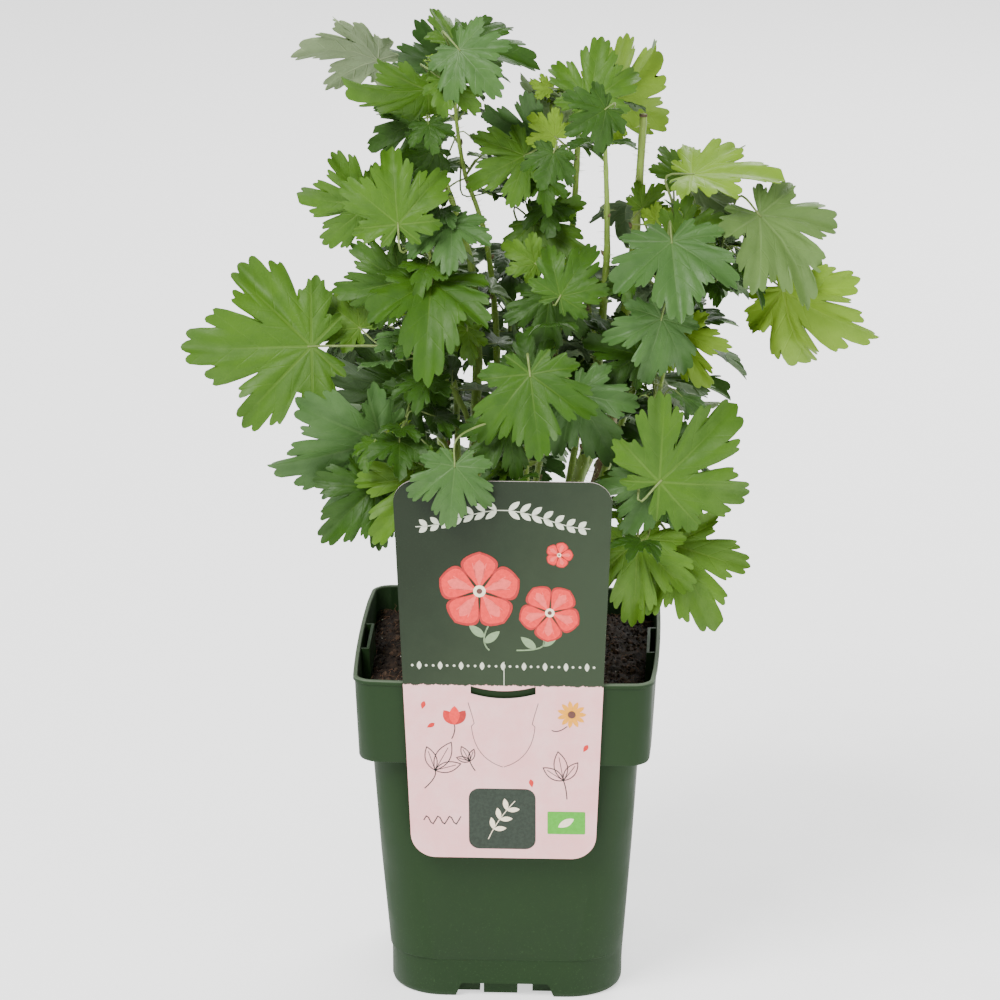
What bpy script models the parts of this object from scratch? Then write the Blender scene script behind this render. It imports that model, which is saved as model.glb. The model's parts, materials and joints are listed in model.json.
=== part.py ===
"""A young gooseberry bush in its square nursery pot, with a card label hung on the rim.

Metres, +Z up. The origin is the middle of the pot's underside. The label hangs on the
-Y side, which is the front, and +X is to the right as seen from there.
"""

import math
import random
from collections import namedtuple

import bmesh
import bpy
from mathutils import Matrix, Vector, noise
from mathutils.bvhtree import BVHTree

MM = 0.001
GAP = 0.35  # between pieces that rest on each other

# Pot, in millimetres
RIM_WIDTH = 130.0
RIM_BEAD_PROUD = 0.7
RIM_BEAD_HEIGHT = 2.2
POT_HEIGHT = 152.3
COLLAR_HEIGHT = 38.6
COLLAR_FOOT_WIDTH = 126.0
BODY_TOP_WIDTH = 115.0
FOOT_WIDTH = 103.0
FOOT_BAND_HEIGHT = 17.5
WALL = 1.2
SIDE_BOW = 1.6  # the filled pot's thin sides bulge by this much at the rim
FLOOR_BOTTOM = 7.0
FLOOR_TOP = 9.4
DRAIN_SLOT_WIDTH = 44.0
DRAIN_SLOT_HEIGHT = 6.4
FOOT_BOSS_RADIUS = 9.0

# Compost
COMPOST_EDGE_DROP = 14.0  # its edge lies this far below the rim
COMPOST_RISE = 4.5  # and its middle this much above the edge
COMPOST_LUMP = 1.6
CROWN_FLAT = 16.0  # level patch round the stem

# Label
CARD_TOP_WIDTH = 93.0
CARD_FOOT_WIDTH = 80.5
CARD_ABOVE_RIM = 93.0
CARD_BELOW_RIM = 81.6
CARD_THICKNESS = 0.6
CARD_TOP_CORNER = 10.0
CARD_FOOT_CORNER = 11.0
CARD_LEAN = math.radians(3.0)
WINDOW_WIDTH = 28.0
WINDOW_HEIGHT = 3.6
WINDOW_SAG = 2.2
TONGUE_WIDTH = 25.0
TONGUE_DROP = 11.0

# Stem base, a stool from which the canes rise
STOOL_RADIUS = 11.0
STOOL_FLARE = 14.5
STOOL_RISE = 8.0  # height of the dome's middle above the compost
CANE_SPLAY = math.radians(50)  # from upright, where the canes leave the stool
CANE_STRAIGHT = 8.0  # the first stretch of a cane, and of a shoot
SHOOT_STRAIGHT = 5.0
SHOOT_ANGLE = math.radians(55)

# The bush is laid out as its front view shows it, looking down at this angle.
VIEW_PITCH = math.radians(17.5)
PICTURE_RIGHT = Vector((1, 0, 0))
PICTURE_UP = Vector((0, math.sin(VIEW_PITCH), math.cos(VIEW_PITCH)))
TO_VIEWER = Vector((0, -math.cos(VIEW_PITCH), math.sin(VIEW_PITCH)))

# Half of a blade's outline: degrees from the midrib, and reach as a share of the midrib. In turn
# the midlobe's shoulder, the gap after it, the side lobe's two shoulders, the low lobe and the base.
HALF_BLADE = ((14, 0.91), (22, 0.53), (32, 0.84), (58, 0.78), (92, 0.55), (140, 0.32))
BLADE_MIDDLE = 0.10
BLADE_NOTCH = 0.05
BLADE_THICKNESS = 0.8
BLADE_DROOP = 0.22
BLADE_FOLD = 0.16
MASS_STEM_RADIUS = 1.5
MASS_STEM_STRAIGHT = 4.0
MASS_STEM_TIP_RADIUS = 1.0
STALK_RADIUS = 0.9
STALK_END_RADIUS = 0.3
STALK_BOW = 0.45  # where along it the stalk bends, as a share
STALK_LIFT = 0.06
STALK_END = 0.03  # how far along the midrib it ends
STALK_TRIES = 6
STALK_ARRIVALS = (12, 5)  # how far before the blade the stalk falls in with its midrib
DEPTH_SHIFTS = (0, 3, -3, 6, -6, 9, -9, 12, -12, 16, -16, 20, -20, 25, -25, 30, -30)

# Leaves that the front view hides, grown by rule. Shares and ranges drawn from for each.
FILLER_TRIES = 500
FILLER_SIZE = (26, 48)
FILLER_STALK = (10, 36)
FILLER_ROOT = (0.1, 1)  # share of the way up the mass's stem
FILLER_RISE = (-0.5, 0.9)  # of the stalk, to 1 outwards
FILLER_SWAY = (-0.4, 0.4)
FILLER_DROOP = (-0.9, 0.35)  # of the midrib, to 1 outwards
FILLER_TURN_OUT = (0.3, 1.2)  # of the upper face, to 1 upwards
KEEP_ABOVE_RIM = 14
FRONT_SHARE = -0.2  # a mass with shown leaves gets no filler that points further forward than this
GOLDEN_TURN = math.radians(137.5)

Limb = namedtuple("Limb", "name parent fork route thick thin")
Leaf = namedtuple("Leaf", "across height toward aim tip roll size tone")
Mass = namedtuple("Mass", "name limb route leaves filler spread seed")

WOODY_CANES = ("cane_cut_right",)  # last year's wood, brown; the others are still green

# A limb leaves its parent at a share of the parent's length, and a cane leaves the stool on
# a bearing in degrees or, with none, straight up. Its route is in the front view's
# millimetres: across, height and how far it lies towards the viewer.
LIMBS = (
    Limb("cane_middle", "stem_base", None,
         ((2, 186, -6), (8, 262, -14), (16, 318, -10), (18, 342, -6)), 3.0, 1.5),
    Limb("cane_upright", "stem_base", 0,
         ((20, 190, 2), (33, 235, 4), (39, 284, 2), (42, 328, 4), (41, 372, 6)), 3.6, 1.6),
    Limb("cane_cut_right", "stem_base", 51,
         ((26, 190, -14), (41, 234, -16), (49, 290, -10), (54, 336, -4), (57, 388, -4)), 3.3, 1.5),
    Limb("cane_back_right", "stem_base", 103,
         ((8, 176, -34), (22, 208, -48), (38, 244, -54)), 3.0, 1.6),
    Limb("cane_back_left", "stem_base", 154,
         ((-20, 182, -22), (-28, 216, -42), (-34, 248, -52)), 3.0, 1.6),
    Limb("cane_leader", "stem_base", 206,
         ((-17, 192, 0), (-14, 280, -2), (-17, 322, 0), (-26, 352, 2)), 3.4, 1.7),
    Limb("cane_left", "stem_base", 257,
         ((-10, 190, 26), (-13, 232, 30), (-18, 254, 29), (-26, 267, 27)), 2.8, 1.6),
    Limb("cane_front", "stem_base", 309, ((13, 180, 30), (10, 208, 42), (9, 226, 45)), 2.6, 1.6),
    Limb("shoot_leader_twin", "cane_leader", 0.50,
         ((-6, 272, -12), (-8, 312, -10), (-12, 338, -8), (-18, 356, -7)), 1.7, 1.2),
    Limb("shoot_upper_left", "cane_leader", 0.40,
         ((-23, 262, 8), (-27, 286, 10), (-29, 302, 12)), 1.8, 1.3),
    Limb("shoot_low_left", "cane_left", 0.34,
         ((-23, 200, 32), (-33, 210, 36), (-40, 222, 38)), 1.8, 1.3),
    Limb("shoot_centre", "cane_middle", 0.30, ((14, 236, 6), (17, 264, 12), (18, 288, 16)), 1.9, 1.3),
    Limb("shoot_cut_left", "cane_middle", 0.52,
         ((20, 290, -14), (26, 330, -14), (29, 382, -14)), 1.8, 1.25),
    Limb("shoot_right", "cane_cut_right", 0.42, ((54, 266, 4), (59, 290, 10), (63, 309, 12)), 1.9, 1.4),
    Limb("shoot_far_right", "shoot_right", 0.50, ((68, 298, 4), (76, 309, 2), (85, 316, 4)), 1.4, 1.1),
    Limb("shoot_low_right", "cane_upright", 0.24,
         ((36, 212, 22), (47, 224, 28), (56, 236, 32)), 1.8, 1.3),
    Limb("shoot_rim_right", "cane_front", 0.36,
         ((28, 188, 38), (44, 196, 42), (56, 206, 44)), 1.7, 1.2),
    Limb("shoot_heart", "cane_upright", 0.42,
         ((31, 256, -12), (34, 268, -14), (36, 278, -14)), 1.8, 1.3),
    Limb("shoot_heart_left", "cane_leader", 0.26,
         ((-25, 232, -2), (-31, 242, -4), (-35, 254, -4)), 1.8, 1.3),
    Limb("shoot_back", "cane_middle", 0.30, ((4, 244, -34), (0, 268, -46), (-2, 286, -54)), 1.8, 1.3),
    Limb("shoot_back_low", "cane_back_right", 0.44,
         ((2, 204, -60), (-4, 214, -68), (-8, 224, -72)), 1.8, 1.3),
)

# A leaf's row: where the blade joins its stalk (across, height, towards the viewer), the way
# its midrib points in the front view (0 right, 90 up), how far that tips towards the viewer,
# its turn about the midrib (0 shows the upper side, 180 the lower), midrib length and colour.
MASSES = (
    Mass("foliage_top_left", "cane_leader", ((-30, 372, 3), (-31, 388, 4), (-29, 402, 5)), (
        Leaf(-56, 410, 4, 158, -10, 122, 37, "pale"),
        Leaf(-34, 396, 0, 186, 5, -62, 38, "mid"),
        Leaf(-39, 384, 10, 205, 15, 10, 25, "dark"),
        Leaf(-31, 371, 8, 208, 20, -35, 23, "dark"),
        Leaf(-27, 399, 10, -35, 15, -20, 20, "mid"),
    ), 1, 44, 11),
    Mass("foliage_crest", "shoot_leader_twin", ((-22, 374, -6), (-24, 394, -5), (-23, 408, -4)), (
        Leaf(-23, 419, -2, 74, -40, 0, 35, "mid"),
        Leaf(-20, 414, 2, 2, 10, -42, 34, "dark"),
        Leaf(-24, 413, 2, 186, 12, -50, 34, "blue"),
        Leaf(-20, 412, 8, -48, 22, 0, 29, "blue"),
    ), 1, 40, 12),
    Mass("foliage_upper_left", "shoot_upper_left", ((-32, 318, 14), (-36, 330, 16)), (
        Leaf(-46, 336, 26, 96, 5, 0, 36, "mid"),
        Leaf(-60, 346, 14, 178, 10, -10, 32, "mid"),
        Leaf(-32, 311, 34, -92, 44, 0, 44, "mid"),
        Leaf(-24, 337, 20, -88, 40, 0, 28, "blue"),
        Leaf(-46, 312, 20, 196, 12, -15, 30, "mid"),
    ), 3, 52, 13),
    Mass("foliage_left", "cane_left", ((-33, 282, 26), (-37, 294, 24)), (
        Leaf(-84, 282, 28, 182, 4, 8, 58, "mid"),
        Leaf(-64, 291, 18, 142, 0, 0, 25, "bright"),
        Leaf(-24, 272, 22, 84, 0, 78, 19, "dark"),
        Leaf(-17, 290, 18, -84, 10, 30, 16, "bright"),
    ), 2, 56, 14),
    Mass("foliage_low_left", "shoot_low_left", ((-44, 230, 40), (-46, 240, 40)), (
        Leaf(-54, 240, 32, 198, 6, -35, 53, "blue"),
        Leaf(-56, 219, 36, 224, 10, 0, 33, "dark"),
        Leaf(-35, 223, 52, 230, 18, 8, 36, "bright"),
        Leaf(-37, 225, 46, 140, 0, 172, 24, "under"),
        Leaf(-34, 229, 56, -25, 15, 0, 17, "mid"),
        Leaf(-40, 262, 30, 262, 20, 0, 28, "dark"),
    ), 1, 58, 15),
    Mass("foliage_centre_front", "cane_front", ((11, 244, 48), (12, 260, 48)), (
        Leaf(11, 270, 60, -82, 10, 0, 41, "bright"),
        Leaf(12, 272, 44, 112, 0, 0, 19, "dark"),
        Leaf(30, 262, 42, -58, 12, 0, 35, "blue"),
        Leaf(2, 247, 50, -128, 16, 0, 27, "dark"),
        Leaf(-20, 229, 76, -95, 4, 0, 29, "blue"),
    ), 1, 46, 16),
    Mass("foliage_centre", "shoot_centre", ((19, 302, 18), (19, 314, 18)), (
        Leaf(18, 306, 26, -96, 12, 0, 28, "dark"),
        Leaf(23, 305, 32, 58, 4, 0, 27, "mid"),
        Leaf(12, 320, 26, 148, 6, 0, 17, "bright"),
        Leaf(10, 340, 22, -34, 26, 0, 32, "mid"),
    ), 0, 46, 17),
    Mass("foliage_top_middle", "cane_middle", ((17, 358, -4), (17, 378, -3), (17.5, 392, -2)), (
        Leaf(28, 391, 2, 177, 4, -66, 28, "pale"),
        Leaf(13, 376, 4, 158, 8, -46, 30, "blue"),
        Leaf(20, 376, 10, 138, 6, 0, 16, "young"),
        Leaf(7, 368, 14, 208, 20, 0, 28, "mid"),
        Leaf(20, 368, 12, -108, 16, 0, 18, "dark"),
        Leaf(17, 398, 0, 172, 10, -30, 9, "young"),
    ), 0, 36, 18),
    Mass("foliage_top_right", "cane_upright", ((40, 384, 6), (38, 392, 6)), (
        Leaf(35, 391, 14, 84, -6, 0, 30, "mid"),
        Leaf(40, 392, 4, 38, -12, 14, 42, "young"),
        Leaf(42, 386, 22, 214, 20, 0, 23, "dark"),
    ), 0, 44, 19),
    Mass("foliage_right_upper", "shoot_right", ((68, 324, 14), (73, 338, 12)), (
        Leaf(70, 330, 34, -84, 34, 0, 43, "blue"),
        Leaf(72, 333, 18, 24, 0, 0, 24, "mid"),
        Leaf(78, 361, 6, 4, 4, -58, 40, "young"),
        Leaf(74, 360, 2, 118, -6, 26, 20, "mid"),
        Leaf(80, 358, 0, -38, 0, 70, 30, "pale"),
        Leaf(57, 346, 0, 52, 0, 0, 15, "bright"),
        Leaf(63, 340, 12, 92, 0, 0, 10, "young"),
    ), 2, 52, 20),
    Mass("foliage_far_right", "shoot_far_right", ((88, 320, 0), (91, 328, -4)), (
        Leaf(107, 343, 18, -46, 8, -34, 45, "mid"),
        Leaf(118, 311, 30, -36, 6, 40, 49, "young"),
    ), 2, 62, 21),
    Mass("foliage_right_middle", "shoot_low_right", ((62, 248, 34), (66, 266, 32), (69, 282, 28)), (
        Leaf(66, 296, 34, -104, 14, -16, 31, "blue"),
        Leaf(74, 291, 26, -70, 8, 22, 27, "young"),
        Leaf(70, 296, 14, 14, 4, -60, 28, "dark"),
        Leaf(70, 238, 38, 158, 6, 0, 25, "dark"),
        Leaf(66, 223, 46, 42, 4, 14, 48, "bright"),
        Leaf(68, 267, 18, -36, 0, 104, 25, "under"),
        Leaf(68, 256, 22, 180, 6, 60, 22, "dark"),
        Leaf(57, 280, 40, 168, 14, 10, 28, "dark"),
    ), 1, 50, 22),
    Mass("foliage_low_right", "shoot_rim_right", ((62, 210, 46), (66, 218, 46)), (
        Leaf(66, 226, 42, -116, 10, -14, 31, "blue"),
        Leaf(57, 197, 60, -92, 6, 0, 38, "bright"),
        Leaf(72, 195, 50, -62, 6, 0, 41, "bright"),
        Leaf(70, 217, 48, -18, 4, 0, 14, "mid"),
    ), 2, 48, 23),
    Mass("foliage_heart", "shoot_heart", ((36, 292, -14), (33, 306, -16)), (), 4, 50, 28),
    Mass("foliage_heart_left", "shoot_heart_left", ((-37, 266, -4), (-40, 280, -6)), (
        Leaf(-44, 268, 8, 190, 8, -40, 40, "dark"),
    ), 5, 54, 29),
    Mass("foliage_back_left", "cane_back_left",
         ((-42, 272, -56), (-50, 304, -52), (-48, 338, -44)), (), 10, 62, 24),
    Mass("foliage_back", "shoot_back", ((-2, 304, -56), (0, 322, -54)), (), 7, 58, 25),
    Mass("foliage_back_right", "cane_back_right",
         ((50, 272, -58), (64, 298, -52), (68, 326, -44)), (), 10, 62, 26),
    Mass("foliage_back_low", "shoot_back_low", ((-10, 234, -76), (-16, 244, -80)), (), 6, 62, 27),
)


def clear_scene():
    for item in list(bpy.data.objects):
        bpy.data.objects.remove(item, do_unlink=True)


def new_collection(name):
    collection = bpy.data.collections.new(name)
    bpy.context.scene.collection.children.link(collection)
    return collection


def material(name, colour, roughness):
    made = bpy.data.materials.new(name)
    made.use_nodes = True
    shader = made.node_tree.nodes["Principled BSDF"]
    shader.inputs["Base Color"].default_value = (*colour, 1)
    shader.inputs["Roughness"].default_value = roughness
    shader.inputs["Metallic"].default_value = 0
    return made


def mesh_object(name, points, faces, collection, finish=None):
    """An object from points in millimetres and faces that are already wound to face outwards."""
    mesh = bpy.data.meshes.new(name)
    mesh.from_pydata([Vector(p) * MM for p in points], [], faces)
    if finish:
        mesh.materials.append(finish)
    made = bpy.data.objects.new(name, mesh)
    collection.objects.link(made)
    return made


def loft(name, rings, collection, finish=None):
    """A closed skin over rings of equally many points, with a flat face on each end."""
    count = len(rings[0])
    faces = [tuple(range(count)), tuple(range((len(rings) - 1) * count, len(rings) * count))]
    for level in range(len(rings) - 1):
        low = level * count
        for i in range(count):
            j = (i + 1) % count
            faces.append((low + i, low + j, low + count + j, low + count + i))
    made = mesh_object(name, [p for ring in rings for p in ring], faces, collection, finish)
    shaped = bmesh.new()
    shaped.from_mesh(made.data)
    bmesh.ops.recalc_face_normals(shaped, faces=shaped.faces)
    shaped.to_mesh(made.data)
    shaped.free()
    return made


def square_ring(height, half, corner, bow=0.0, steps=3):
    """A level rounded square. bow pushes the middle of each side out."""
    ring = []
    for quarter in range(4):
        turn = quarter * math.pi / 2
        side = Vector((half + bow, 0, 0))
        arc = []
        for step in range(steps + 1):
            angle = math.pi / 2 * step / steps
            middle = Vector((half - corner, half - corner, 0))
            arc.append(middle + Vector((math.cos(angle), math.sin(angle), 0)) * corner)
        for point in [side] + arc:
            turned = Matrix.Rotation(turn, 3, "Z") @ point
            ring.append((turned.x, turned.y, height))
    return ring


def cut(target, cutter, operation="DIFFERENCE"):
    modifier = target.modifiers.new(cutter.name, "BOOLEAN")
    modifier.operation = operation
    modifier.object = cutter
    cutter.hide_render = True
    cutter.display_type = "WIRE"


def pot_halves():
    """Half the pot's width at its foot, body top, collar foot and rim."""
    return FOOT_WIDTH / 2, BODY_TOP_WIDTH / 2, COLLAR_FOOT_WIDTH / 2, RIM_WIDTH / 2


def pot(parts, cutters, plastic):
    """Foot band, tapered body, a shelf out to the collar and the beaded rim, then down inside."""
    shelf = POT_HEIGHT - COLLAR_HEIGHT
    bead = POT_HEIGHT - RIM_BEAD_HEIGHT
    foot, body, collar, rim = pot_halves()
    edge_round = 1.5
    rings = [
        square_ring(0, foot - 2, 23),
        square_ring(2.5, foot - 0.6, 24),
        square_ring(FOOT_BAND_HEIGHT, foot - 0.6, 23),
        square_ring(FOOT_BAND_HEIGHT + 0.8, foot, 22),
        square_ring(shelf, body, 12, SIDE_BOW / 2),
        square_ring(shelf, collar - edge_round, 8, SIDE_BOW / 2),
        square_ring(shelf + edge_round, collar, 9, SIDE_BOW / 2),
        square_ring(bead, rim - RIM_BEAD_PROUD, 8, SIDE_BOW),
        square_ring(bead + 0.4, rim, 8.5, SIDE_BOW),
        square_ring(POT_HEIGHT, rim, 8.5, SIDE_BOW),
        square_ring(POT_HEIGHT, rim - WALL - RIM_BEAD_PROUD, 6.6, SIDE_BOW),
        square_ring(shelf + WALL, collar - WALL, 7.8, SIDE_BOW / 2),
        square_ring(shelf + WALL, body - WALL, 10.8, SIDE_BOW / 2),
        square_ring(FLOOR_TOP, foot - WALL - 0.6, 21),
    ]
    made = loft("pot", rings, parts, plastic)
    recess = loft(
        "recess", [square_ring(-1, foot - 6, 19), square_ring(FLOOR_BOTTOM, foot - 5, 18)], cutters
    )
    cut(made, recess)
    for name, turn in (("drain_slots_across", 0), ("drain_slots_along", math.pi / 2)):
        low, high = DRAIN_SLOT_WIDTH / 2, DRAIN_SLOT_WIDTH / 2 - 3
        profile = [(-low, -1), (low, -1), (high, DRAIN_SLOT_HEIGHT), (-high, DRAIN_SLOT_HEIGHT)]
        ends = [[(x, y, z) for x, z in profile] for y in (-RIM_WIDTH, RIM_WIDTH)]
        slot = loft(name, ends, cutters)
        slot.rotation_euler.z = turn
        cut(made, slot)
    bpy.ops.mesh.primitive_cylinder_add(
        vertices=16, radius=FOOT_BOSS_RADIUS * MM, depth=8 * MM, location=(0, 0, 4 * MM)
    )
    boss = bpy.context.object
    boss.name = "foot_boss"
    bpy.context.collection.objects.unlink(boss)
    cutters.objects.link(boss)
    cut(made, boss, "UNION")
    return made


def compost_level(x, y):
    """Height of the compost: lumpy, higher at the back, and level round the stem."""
    base = POT_HEIGHT - COMPOST_EDGE_DROP + COMPOST_RISE
    if math.hypot(x, y) <= CROWN_FLAT:
        return base
    slope = 2.5 * y / (RIM_WIDTH / 2)
    dish = COMPOST_RISE * (max(abs(x), abs(y)) / (RIM_WIDTH / 2)) ** 3
    return base + slope - dish + COMPOST_LUMP * noise.noise(Vector((x, y, 3)) * 0.07)


def compost(parts, soil):
    """Fills the pot, a gap clear of its walls, shelf and floor."""
    shelf = POT_HEIGHT - COLLAR_HEIGHT
    foot, body, collar, rim = pot_halves()
    edge_height = POT_HEIGHT - COMPOST_EDGE_DROP
    share = (edge_height - shelf - WALL) / (COLLAR_HEIGHT - WALL)
    edge = collar - WALL + (rim - RIM_BEAD_PROUD - collar) * share - GAP
    rings = [
        square_ring(FLOOR_TOP + GAP, foot - WALL - 0.6 - GAP, 21),
        square_ring(shelf + WALL + GAP, body - WALL - GAP, 10.8, SIDE_BOW / 2),
        square_ring(shelf + WALL + GAP, collar - WALL - GAP, 7.8, SIDE_BOW / 2),
        square_ring(edge_height - 3, edge - 0.2, 7, SIDE_BOW / 2),
    ]
    for part_way in (0.97, 0.82, 0.64, 0.46, CROWN_FLAT / edge * 0.9):
        flat = square_ring(0, edge * part_way, max(7, edge * part_way * (1.25 - part_way)), SIDE_BOW / 2)
        rings.append([(x, y, compost_level(x, y)) for x, y, _ in flat])
    return loft("compost", rings, parts, soil)


def arc_points(middle, radius, start, end, steps):
    """Points on an arc, with angles in degrees."""
    return [
        (
            middle[0] + radius * math.cos(math.radians(start + (end - start) * i / steps)),
            middle[1] + radius * math.sin(math.radians(start + (end - start) * i / steps)),
        )
        for i in range(steps + 1)
    ]


def card_half(up):
    """Half the card's width at a height above the rim."""
    share = (up + CARD_BELOW_RIM) / (CARD_BELOW_RIM + CARD_ABOVE_RIM)
    return (CARD_FOOT_WIDTH + (CARD_TOP_WIDTH - CARD_FOOT_WIDTH) * share) / 2


def closed_spline(curve, points):
    spline = curve.splines.new("POLY")
    spline.points.add(len(points) - 1)
    for point, (x, y) in zip(spline.points, points):
        point.co = (x * MM, y * MM, 0, 1)
    spline.use_cyclic_u = True


def mesh_of_curve(made):
    """The curve object's solid as a mesh object in its place, its caps welded on."""
    bpy.context.view_layer.update()
    name, matrix, home = made.name, made.matrix_world.copy(), made.users_collection[0]
    graph = bpy.context.evaluated_depsgraph_get()
    mesh = bpy.data.meshes.new_from_object(made.evaluated_get(graph))
    welded = bmesh.new()
    welded.from_mesh(mesh)
    bmesh.ops.remove_doubles(welded, verts=welded.verts, dist=1e-6)
    welded.to_mesh(mesh)
    welded.free()
    bpy.data.objects.remove(made, do_unlink=True)
    solid = bpy.data.objects.new(name, mesh)
    solid.matrix_world = matrix
    home.objects.link(solid)
    return solid


def label(parts, cutters, card):
    """A card in front of the collar, with a tongue that hooks over the rim behind its window."""
    curve = bpy.data.curves.new("label", "CURVE")
    curve.dimensions = "2D"
    curve.fill_mode = "BOTH"
    curve.extrude = CARD_THICKNESS / 2 * MM
    top, foot = CARD_ABOVE_RIM, -CARD_BELOW_RIM
    top_in, foot_in = card_half(top) - CARD_TOP_CORNER, card_half(foot) - CARD_FOOT_CORNER
    outline = arc_points((top_in, top - CARD_TOP_CORNER), CARD_TOP_CORNER, 2, 90, 5)
    outline += arc_points((-top_in, top - CARD_TOP_CORNER), CARD_TOP_CORNER, 90, 178, 5)
    outline += arc_points((-foot_in, foot + CARD_FOOT_CORNER), CARD_FOOT_CORNER, 182, 270, 5)
    outline += arc_points((foot_in, foot + CARD_FOOT_CORNER), CARD_FOOT_CORNER, 270, 358, 5)
    closed_spline(curve, outline)
    # The window is a band that sags in the middle. Its top edge lies on the rim.
    steps = 8
    across = [WINDOW_WIDTH * (i / steps - 0.5) for i in range(steps + 1)]
    sag = [WINDOW_SAG * (1 - (2 * x / WINDOW_WIDTH) ** 2) for x in across]
    upper = [(x, -0.8 - s) for x, s in zip(across, sag)]
    lower = [(x, -0.8 - s - WINDOW_HEIGHT) for x, s in zip(across, sag)]
    closed_spline(curve, upper + lower[::-1])
    made = bpy.data.objects.new("label", curve)
    parts.objects.link(made)
    made.rotation_euler.x = math.pi / 2 + CARD_LEAN
    front = RIM_WIDTH / 2 + SIDE_BOW + GAP + CARD_THICKNESS / 2
    made.location = (0, -front * MM, POT_HEIGHT * MM)
    made = mesh_of_curve(made)
    made.data.materials.clear()
    made.data.materials.append(card)
    # The tongue leaves the card just above the rim, crosses it and drops down inside the pot.
    over = POT_HEIGHT + GAP
    inner = RIM_WIDTH / 2 + SIDE_BOW - WALL - RIM_BEAD_PROUD - GAP
    profile = [
        (-front, over),
        (-front, over + CARD_THICKNESS),
        (-inner + CARD_THICKNESS, over + CARD_THICKNESS),
        (-inner + CARD_THICKNESS + 1, POT_HEIGHT - TONGUE_DROP),
        (-inner + 1, POT_HEIGHT - TONGUE_DROP),
        (-inner, over),
    ]
    ends = [[(x, y, z) for y, z in profile] for x in (-TONGUE_WIDTH / 2, TONGUE_WIDTH / 2)]
    cut(made, loft("tongue", ends, cutters), "UNION")
    return made


def stool_middle():
    base = POT_HEIGHT - COMPOST_EDGE_DROP + COMPOST_RISE + GAP
    return Vector((0, 0, base + STOOL_RISE))


def stem_base(parts, wood):
    """A turned stool with a root flare, from a flat cut at the compost to a dome."""
    middle = stool_middle()
    foot = middle.z - STOOL_RISE
    profile = [(STOOL_FLARE, foot), (STOOL_FLARE - 2.2, foot + 2), (STOOL_RADIUS + 0.4, foot + 5)]
    profile += [
        (STOOL_RADIUS * math.cos(math.radians(a)), middle.z + STOOL_RADIUS * math.sin(math.radians(a)))
        for a in (0, 22, 44, 66)
    ]
    sides = 14
    rings = []
    for radius, height in profile:
        lobed = 0.06 * max(0, 1 - (height - foot) / 5)  # the flare's ribs fade out up the stool
        ring = []
        for i in range(sides):
            turn = 2 * math.pi * i / sides
            reach = radius * (1 + lobed * math.sin(3 * turn))
            ring.append((reach * math.cos(turn), reach * math.sin(turn), height))
        rings.append(ring)
    return loft("stem_base", rings, parts, wood)


def seen(across, height, toward):
    """The place, in millimetres, that the front view shows here when it lies this far towards it."""
    return Vector((across, -toward, height + toward * math.tan(VIEW_PITCH)))


def smooth_route(points, steps):
    """Points along a smooth curve through these ones, steps of them to each stretch."""
    padded = [points[0] * 2 - points[1]] + points + [points[-1] * 2 - points[-2]]
    route = []
    for before, start, end, after in zip(padded, padded[1:], padded[2:], padded[3:]):
        for i in range(steps):
            t = i / steps
            route.append(0.5 * (
                2 * start
                + (end - before) * t
                + (2 * before - 5 * start + 4 * end - after) * t ** 2
                + (3 * start - before - 3 * end + after) * t ** 3
            ))
    return route + [points[-1]]


def growing_route(start, first_stretch, onward):
    """A limb's smooth route, its first stretch kept straight so that its end is cut square."""
    route = smooth_route([start, start + first_stretch] + onward, 2)
    route[1] = start + first_stretch / 2
    return route


def seated(start, way, radius, tree):
    """The start of a limb, slid back along its way until its end is a gap clear of its parent."""
    side = way.orthogonal().normalized()
    rim = [Matrix.Rotation(math.radians(turn), 3, way) @ side * radius for turn in range(0, 360, 30)]
    for _ in range(4):
        clear = min(tree.find_nearest(start + off * share)[3] for off in rim for share in (0, 0.5, 1))
        start = start - way * (clear - GAP)
    return start


def limb_route(limb, routes, trees):
    """A limb's smooth route, from just clear of its parent's surface."""
    own = [seen(*place) for place in limb.route]
    if limb.parent == "stem_base":
        way = Vector((0, 0, 1))
        if limb.fork is not None:
            way = Vector((math.sin(CANE_SPLAY), 0, math.cos(CANE_SPLAY)))
            way.rotate(Matrix.Rotation(math.radians(limb.fork), 3, "Z"))
        middle, straight = stool_middle(), CANE_STRAIGHT
    else:
        parent = routes[limb.parent]
        at = limb.fork * (len(parent) - 1)
        i = min(int(at), len(parent) - 2)
        middle, straight = parent[i].lerp(parent[i + 1], at - i), SHOOT_STRAIGHT
        along = (parent[i + 1] - parent[i]).normalized()
        way = (own[0] - middle).normalized()
        # A shoot leaves its parent at SHOOT_ANGLE or more, so that its end clears the parent.
        sideways = (way - along * way.dot(along)).normalized()
        lean = min(way.dot(along), math.cos(SHOOT_ANGLE))
        way = sideways * math.sqrt(1 - lean ** 2) + along * lean
    start = seated(middle + way * STOOL_FLARE, way, limb.thick, trees[limb.parent])
    return growing_route(start, way * straight, own)


def limb_solid(limb, route, parts, wood):
    """A tapering tube along the route."""
    curve = bpy.data.curves.new(limb.name, "CURVE")
    curve.dimensions = "3D"
    curve.bevel_depth = MM
    curve.bevel_resolution = 1
    curve.use_fill_caps = True
    curve.materials.append(wood)
    spline = curve.splines.new("POLY")
    spline.points.add(len(route) - 1)
    for i, (point, place) in enumerate(zip(spline.points, route)):
        point.co = (*(place * MM), 1)
        point.radius = limb.thick + (limb.thin - limb.thick) * i / (len(route) - 1)
    made = bpy.data.objects.new(limb.name, curve)
    parts.objects.link(made)
    return made


def polar(turn, reach):
    """A point of the flat blade: turn in degrees from the midrib, which runs along +Y."""
    angle = math.radians(turn)
    return Vector((math.sin(angle) * reach, math.cos(angle) * reach, 0))


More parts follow.
